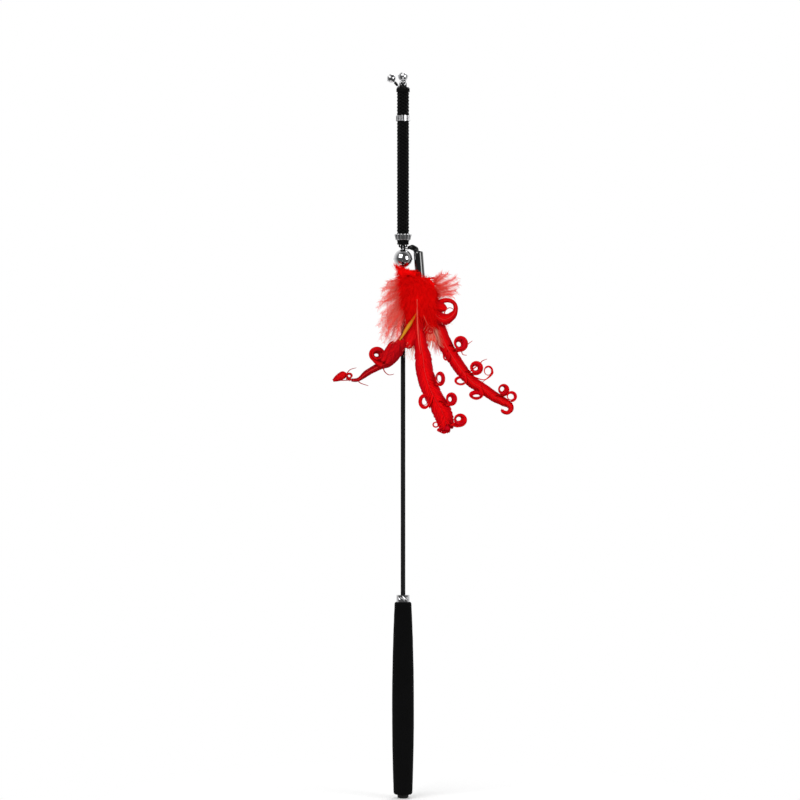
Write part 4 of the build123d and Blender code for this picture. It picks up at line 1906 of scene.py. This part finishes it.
FEATHERS = (
    CurledFeather(
        "left_feather_vane", "left_feather", DARK_FEATHER, layer=2.75, bow=3.0, drop=77.0,
        rachis=(
            (0.0, 0.0, 1.3), (-3.3, 20.8, 1.6), (-9.8, 37.7, 4.0), (-17.0, 52.5, 9.0),
            (-23.0, 61.4, 6.4), (-31.2, 65.2, 4.6), (-39.6, 69.9, 4.0), (-46.4, 75.0, 1.9),
            (-52.0, 75.4, 1.3), (-58.0, 75.6, 1.2), (-65.0, 75.9, 0.7),
        ),
        curls=(
            (-32.2, 56.0, 12.6, 11.6, 22.0, 16.0, 1.5, 5.0),
            (-53.0, 72.2, 5.4, 5.0, 20.0, 10.0, 1.3, 1.8),
        ),
        leaves=(
            (
                (-1.8, 21.0, 5.5, 4.0), (-2.0, 30.0, 6.5, 11.0), (-5.5, 40.0, 6.0, 13.5),
                (-9.0, 47.5, 5.0, 10.0), (-11.0, 51.0, 4.5, 3.5),
            ),
            (
                (-11.6, 45.5, 6.5, 3.0), (-15.0, 49.0, 7.5, 8.0), (-19.5, 54.0, 7.5, 9.5),
                (-22.6, 59.0, 6.5, 7.0), (-25.5, 63.0, 4.0, 3.0),
            ),
            (
                (-20.0, 46.5, 6.0, 2.0), (-22.5, 50.5, 7.0, 4.0), (-25.5, 56.0, 6.5, 4.4),
                (-28.0, 61.5, 5.0, 3.0),
            ),
            (
                (-54.6, 71.2, 0.6, 2.4), (-57.5, 71.6, 0.8, 5.6), (-61.0, 73.4, 0.6, 5.0),
                (-65.3, 75.9, 0.3, 0.8),
            ),
        ),
        hooks=(
            ((-27.4, 63.0), (-27.2, 68.0), (-23.8, 71.4), (-19.6, 70.9)),
            ((-46.8, 75.0), (-44.9, 77.6), (-38.8, 79.7)),
            ((-55.0, 71.2), (-52.6, 67.7), (-47.8, 66.2)),
        ),
        shades=((0.0, 0.36), (0.72, 1.0), (0.15, 0.6), (0.3, 0.8), (0.4, 0.9)),
        seed=11,
    ),
    CurledFeather(
        "middle_feather_vane", "middle_feather", RED_FEATHER, layer=-3.25, bow=14.0, drop=117.0,
        rachis=(
            (0.0, 0.0, 1.6), (-1.9, 17.6, 3.4), (-0.8, 36.0, 5.6), (0.6, 50.0, 8.6),
            (2.2, 59.0, 11.6), (3.2, 68.0, 12.0), (5.9, 78.2, 12.2), (10.6, 88.8, 12.4),
            (16.4, 99.3, 13.0), (19.0, 107.5, 11.6), (19.5, 112.0, 8.6),
        ),
        curls=(
            (14.6, 74.3, 8.2, 11.2, 44.0, 12.0, 2.3, 2.2),
            (22.9, 89.5, 9.4, 10.4, 24.0, 14.0, 1.5, 3.6),
            (29.2, 105.0, 11.4, 10.8, 22.0, -16.0, 1.2, 4.2),
            (3.1, 91.3, 9.2, 11.8, -40.0, 14.0, 2.3, 2.0),
            (11.5, 108.7, 5.2, 4.8, -30.0, 10.0, 1.4, 1.0),
            (17.6, 113.0, 11.0, 5.4, -16.0, 46.0, 1.5, 3.0),
            (7.6, 38.6, 4.6, 5.2, -20.0, 14.0, 1.4, 1.0),
        ),
        end_roll=(1.9, 0.8),
        shades=((0.4, 1.0),),
        seed=12,
    ),
    CurledFeather(
        "right_feather_vane", "right_feather", RED_FEATHER, layer=0.75, bow=6.0, drop=99.4,
        rachis=(
            (0.0, 0.0, 1.4), (6.9, 19.9, 4.2), (14.1, 36.1, 8.6), (19.4, 49.7, 9.4),
            (25.7, 60.2, 8.8), (32.0, 69.2, 8.4), (39.4, 77.1, 7.8), (47.8, 82.4, 7.2),
            (55.2, 87.7, 6.8), (62.4, 91.6, 5.8), (66.6, 94.0, 4.4), (68.0, 97.0, 3.0),
            (65.6, 99.8, 2.0), (62.2, 99.2, 1.6), (60.8, 96.9, 1.2),
        ),
        curls=(
            (29.9, 48.0, 12.0, 12.2, 32.0, 20.0, 1.6, 4.4),
            (41.8, 66.2, 10.8, 10.8, 12.0, 12.0, 1.5, 3.9),
            (51.0, 68.6, 7.6, 8.6, 10.0, 24.0, 1.5, 1.2),
            (30.2, 75.8, 9.8, 7.6, -24.0, 30.0, 1.4, 1.9),
            (41.8, 86.6, 11.2, 7.8, -14.0, 42.0, 1.4, 3.0),
            (62.0, 82.6, 9.6, 9.8, 26.0, -18.0, 1.1, 3.4),
            (68.2, 87.6, 8.6, 8.4, 30.0, 26.0, 1.3, 2.0),
            (19.6, 57.2, 5.6, 7.6, -40.0, 10.0, 1.5, 0.9),
        ),
        hooks=(
            ((34.4, 49.4), (36.6, 47.8), (39.2, 45.9)),
            ((44.4, 63.2), (46.8, 60.9), (50.2, 59.6)),
            ((30.0, 53.4), (32.0, 56.2), (35.0, 56.8)),
            ((39.6, 73.0), (48.0, 75.2), (54.6, 70.4), (52.6, 64.8)),
        ),
        shades=((0.1, 0.7),),
        seed=13,
    ),
    CurledFeather(
        "loop_feather_vane", "loop_feather", RED_FEATHER, layer=-1.25, bow=1.0, drop=28.4,
        rachis=(
            (1.4, 0.0, 1.6), (7.0, 13.6, 4.0), (11.4, 26.2, 7.6), (18.0, 30.0, 8.0),
            (24.0, 27.2, 5.2), (26.6, 22.6, 2.4), (25.4, 17.8, 2.0), (20.8, 15.6, 2.4),
            (15.6, 16.8, 3.0), (12.2, 20.6, 2.4),
        ),
        hooks=(
            ((18.0, 26.0), (19.2, 23.0), (21.8, 21.3), (24.2, 22.0), (25.8, 23.8)),
        ),
        leaves=(
            (
                (8.5, 19.6, 0.6, 3.0), (12.0, 20.0, 0.9, 7.4), (16.0, 21.0, 0.9, 7.0),
                (19.6, 22.4, 0.6, 2.2),
            ),
        ),
        shades=((0.3, 0.9), (0.4, 1.0)),
        seed=14,
    ),
)
QUILLS = (
    BareQuill(
        "yellow_quill", STRIPPED_QUILL,
        (
            (-3.0, 25.6, 7.6, 0.6), (-5.4, 30.0, 6.4, 1.8), (-8.4, 34.6, 5.6, 2.9),
            (-11.0, 38.6, 5.2, 2.5), (-13.2, 42.4, 5.0, 1.5), (-15.4, 45.6, 4.8, 0.7),
        ),
    ),
    BareQuill(
        "middle_rachis", PALE_QUILL,
        (
            (-2.4, 15.0, 9.2, 0.7), (-2.3, 24.0, 8.2, 1.3), (-2.0, 34.0, 5.6, 1.2),
            (-1.2, 46.0, 4.3, 0.9), (0.2, 56.0, 4.2, 0.5),
        ),
    ),
    BareQuill(
        "right_rachis", PALE_QUILL,
        ((2.4, 27.0, 7.0, 0.6), (4.6, 32.0, 5.0, 0.9), (7.6, 38.0, 2.6, 0.6)),
    ),
)
FLUFFS = (
    Fluff(
        "front_fluff", "front_marabou",
        (
            (-5.6, -10.2, -7.0, 2.2), (-4.6, -11.4, -4.2, 5.4), (-2.6, -12.2, -0.6, 7.8),
            (0.4, -12.6, 3.4, 9.4), (4.0, -12.8, 6.8, 10.5), (9.0, -13.0, 9.0, 11.0),
            (15.0, -13.2, 10.2, 11.0), (22.0, -11.6, 10.8, 9.4), (28.0, -8.8, 10.8, 6.6),
            (31.0, -6.8, 10.0, 3.4),
        ),
        face=-2.4,
        half=Half.FRONT,
        fibres=4200,
        fibre_length=8.0,
        most_y=-4.0,
        crest=(
            (-12.6, -3.0, 7.4, -20.2, -13.4, 6.6), (-11.6, -3.6, 7.6, -17.8, -12.2, 7.0),
            (-10.6, -4.0, 7.8, -15.2, -11.0, 7.4), (-9.2, -4.2, 8.0, -12.4, -10.0, 7.8),
            (-7.8, -4.2, 8.0, -9.6, -8.8, 7.8), (-6.2, -3.6, 8.0, -6.8, -7.6, 7.6),
            (-4.6, -2.8, 7.8, -4.2, -6.0, 7.4),
        ),
    ),
    Fluff(
        "back_fluff", "back_marabou",
        (
            (-1.0, -9.0, 7.0, 1.2), (3.0, -12.6, 10.2, 2.6), (9.0, -13.6, 11.6, 3.6),
            (14.0, -13.8, 12.2, 3.2), (20.0, -12.4, 13.6, 3.9), (26.0, -9.2, 15.0, 3.3),
            (31.0, -7.8, 16.4, 3.7), (36.0, -7.6, 17.4, 2.8), (42.0, -6.4, 17.0, 2.0),
            (46.0, -5.5, 14.5, 1.0),
        ),
        face=-1.8,
        half=Half.BACK,
        fibres=3000,
        fibre_length=9.0,
        most_y=-2.3,
        seed=4,
    ),
)
LEFT_TIPS = (
    (-21.5, 1.0), (-25.5, 5.0), (-28.6, 10.0), (-30.0, 16.0), (-30.0, 22.0), (-29.8, 27.5),
    (-29.6, 33.0), (-29.2, 38.5), (-28.4, 43.5), (-26.6, 48.0), (-24.0, 52.0),
)
LEFT_HANGING = (
    (-14.0, 18.0, -18.6, 41.0), (-14.6, 22.0, -17.8, 45.5), (-15.2, 24.0, -20.6, 50.0),
    (-16.0, 20.0, -22.4, 47.0),
)


def left_plumes() -> Rows:
    """Lay out the left tuft from its tips.

    Returns:
        Rows of a long and a shorter plume at each tip and between two, then the hanging ones.
    """
    root_x, first_root, root_gap = -10.8, 3.0, 1.9
    short_x, short_z, short_drop, short_gap = 0.86, 0.92, 3.0, 1.2
    rows = []
    for index, (start, end) in enumerate(zip(LEFT_TIPS, LEFT_TIPS[1:])):
        for share in (0.0, 0.5):
            x, z = (lerp(low, high, share) for low, high in zip(start, end))
            root = first_root + root_gap * (index + share)
            rows.append((root_x, root, x, z))
            rows.append((root_x, root + short_gap, x * short_x, z * short_z + short_drop))
    rows.extend(LEFT_HANGING)
    return tuple(rows)


DOWNS = (
    Down("left_down_tuft", "left_down", -1.25, left_plumes(), barb_length=5.6, barbs=64),
    Down(
        "right_down_tuft", "right_down", 2.75,
        (
            (9.0, 4.0, 17.0, -5.0), (9.5, 5.0, 21.5, -5.5), (10.0, 7.0, 25.5, -3.0),
            (10.5, 9.0, 27.0, 2.0), (10.5, 12.0, 26.5, 7.5), (10.0, 14.0, 24.0, 12.5),
            (9.5, 8.0, 19.5, 2.0), (9.5, 10.0, 20.5, 8.0),
        ),
        seed=8,
    ),
    Down(
        "lower_down_tuft", "lower_down", -1.25,
        (
            (-6.0, 42.0, -9.5, 56.0), (-4.5, 42.0, -7.5, 61.0), (-3.0, 42.0, -4.5, 60.0),
            (-1.0, 42.0, -2.0, 57.0), (6.0, 30.0, 7.5, 47.0), (8.5, 32.0, 11.5, 52.0),
            (10.0, 34.0, 15.0, 50.0), (14.0, 27.0, 22.0, 34.0),
        ),
        CREAM_DOWN,
        lift=0.8,
        barbs=16,
        seed=9,
    ),
)


@dataclass
class Studio:
    """Floor, light and camera.

    Args:
        frame_w: Width that the picture shows.
        aim: Point in the middle of the picture.
        floor_w: Width of the floor, in metres.
        near: How far from the wand the floor starts to turn white, in metres.
        far: How far away it is all white, in metres.
        lamps: Place in metres, size and power of each soft box.
        ambient: Strength of the plain light from all sides.
        room: Where the mirrored room starts and ends to brighten, from front to back.
        mirrored: Its least and most brightness.
    """

    frame_w: float = 602.4
    aim: Vector = field(default_factory=lambda: Vector((-2.26, 0.0, 224.4)))
    lens: float = 135.0
    sensor: float = 36.0
    floor_z: float = -75.3
    floor_w: float = 0.56
    floor_tone: float = 0.97
    floor_rough: float = 0.9
    near: float = 0.06
    far: float = 0.24
    lamps: tuple[tuple[Vector, float, float], ...] = (
        (Vector((-1.1, -1.7, 1.5)), 1.7, 32.0),
        (Vector((1.5, -1.3, 0.7)), 1.0, 14.0),
        (Vector((0.5, 1.3, 1.6)), 1.0, 12.0),
    )
    ambient: float = 0.55
    room: Span = (-0.35, 0.65)
    mirrored: Span = (0.10, 1.0)

    def floor_material(self) -> bpy.types.Material:
        """Pale floor that runs out to plain white away from the wand.

        Returns:
            The material.
        """
        made, nodes, shader = start_material("pale_floor")
        nodes.put(shader, "Base Color", (*[self.floor_tone] * 3, 1.0))
        nodes.put(shader, "Roughness", self.floor_rough)
        place = nodes.add("NewGeometry").outputs["Position"]
        away = nodes.add("VectorMath", operation="LENGTH", in0=place).outputs["Value"]
        fade = nodes.add("MapRange", Value=away, From_Min=self.near, From_Max=self.far).outputs[0]
        white = nodes.add("Emission", Strength=1.0)
        path = nodes.add("LightPath")
        seen = path.outputs["Is Camera Ray"]
        for label in ("Is Glossy Ray", "Is Transmission Ray"):
            seen = nodes.maths("MAXIMUM", seen, path.outputs[label])
        mixed = nodes.add("MixShader", in0=nodes.maths("MULTIPLY", fade, seen))
        nodes.put(mixed, "in1", shader.outputs[0])
        nodes.put(mixed, "in2", white.outputs[0])
        nodes.put(made.node_tree.nodes["Material Output"], "Surface", mixed.outputs[0])
        return made

    def build_floor(self) -> None:
        """Floor that keeps the shadow near the wand."""
        half = self.floor_w / 2
        z = self.floor_z * MM
        mesh = bpy.data.meshes.new("floor")
        corners = [(-half, -half, z), (half, -half, z), (half, half, z), (-half, half, z)]
        mesh.from_pydata(corners, [], [(0, 1, 2, 3)])
        floor = bpy.data.objects.new("floor", mesh)
        bpy.context.scene.collection.objects.link(floor)
        mesh.materials.append(self.floor_material())

    def build_world(self) -> None:
        """White surround, a darker room behind the camera for gloss, and plain ambient light."""
        world = bpy.data.worlds.new("studio")
        bpy.context.scene.world = world
        world.use_nodes = True
        nodes = Nodes(world.node_tree)
        background = world.node_tree.nodes["Background"]
        path = nodes.add("LightPath")
        toward = nodes.add("TexCoord").outputs["Generated"]
        depth = nodes.add("SeparateXYZ", Vector=toward).outputs["Y"]
        behind, ahead = self.room
        room = nodes.add("MapRange", Value=depth, From_Min=behind, From_Max=ahead).outputs[0]
        room = nodes.spread(room, *self.mirrored)
        camera, through = path.outputs["Is Camera Ray"], path.outputs["Is Transmission Ray"]
        mirrored = nodes.maths("MULTIPLY", path.outputs["Is Glossy Ray"], room)
        plain = nodes.maths("MULTIPLY", path.outputs["Is Diffuse Ray"], self.ambient)
        direct = nodes.maths("MAXIMUM", camera, through)
        seen = nodes.maths("MAXIMUM", nodes.maths("MAXIMUM", direct, mirrored), plain)
        nodes.put(background, "Strength", seen)
        nodes.put(background, "Color", (1.0, 1.0, 1.0, 1.0))

    def build_lamps(self) -> None:
        """Soft boxes round the wand."""
        for index, (spot, size, power) in enumerate(self.lamps):
            data = bpy.data.lights.new(f"soft_box_{index}", "AREA")
            data.size = size
            data.energy = power
            lamp = bpy.data.objects.new(f"soft_box_{index}", data)
            lamp.location = spot
            lamp.rotation_euler = (self.aim * MM - spot).to_track_quat("-Z", "Y").to_euler()
            bpy.context.scene.collection.objects.link(lamp)

    def build_camera(self) -> None:
        """Camera in front of the wand, level with the middle of the picture."""
        data = bpy.data.cameras.new("front_camera")
        data.lens = self.lens
        data.sensor_width = self.sensor
        camera = bpy.data.objects.new("front_camera", data)
        away = self.frame_w * self.lens / self.sensor
        camera.location = (self.aim + FRONT * away) * MM
        camera.rotation_euler = (math.pi / 2, 0, 0)
        bpy.context.scene.collection.objects.link(camera)
        bpy.context.scene.camera = camera

    def build(self) -> None:
        """Set up the whole studio."""
        self.build_camera()
        self.build_floor()
        self.build_world()
        self.build_lamps()
        bpy.context.scene.view_settings.view_transform = "Standard"


def main() -> None:
    """Build the studio and dress every sub-assembly in order."""
    logging.basicConfig(level=logging.INFO, format="%(name)s: %(message)s")
    Studio().build()
    Strap().dress()
    Handle().dress()
    Bells().dress()
    Holder().dress()
    for part in (*FEATHERS, *QUILLS, *FLUFFS, *DOWNS):
        part.dress()


if __name__ == "__main__":
    main()
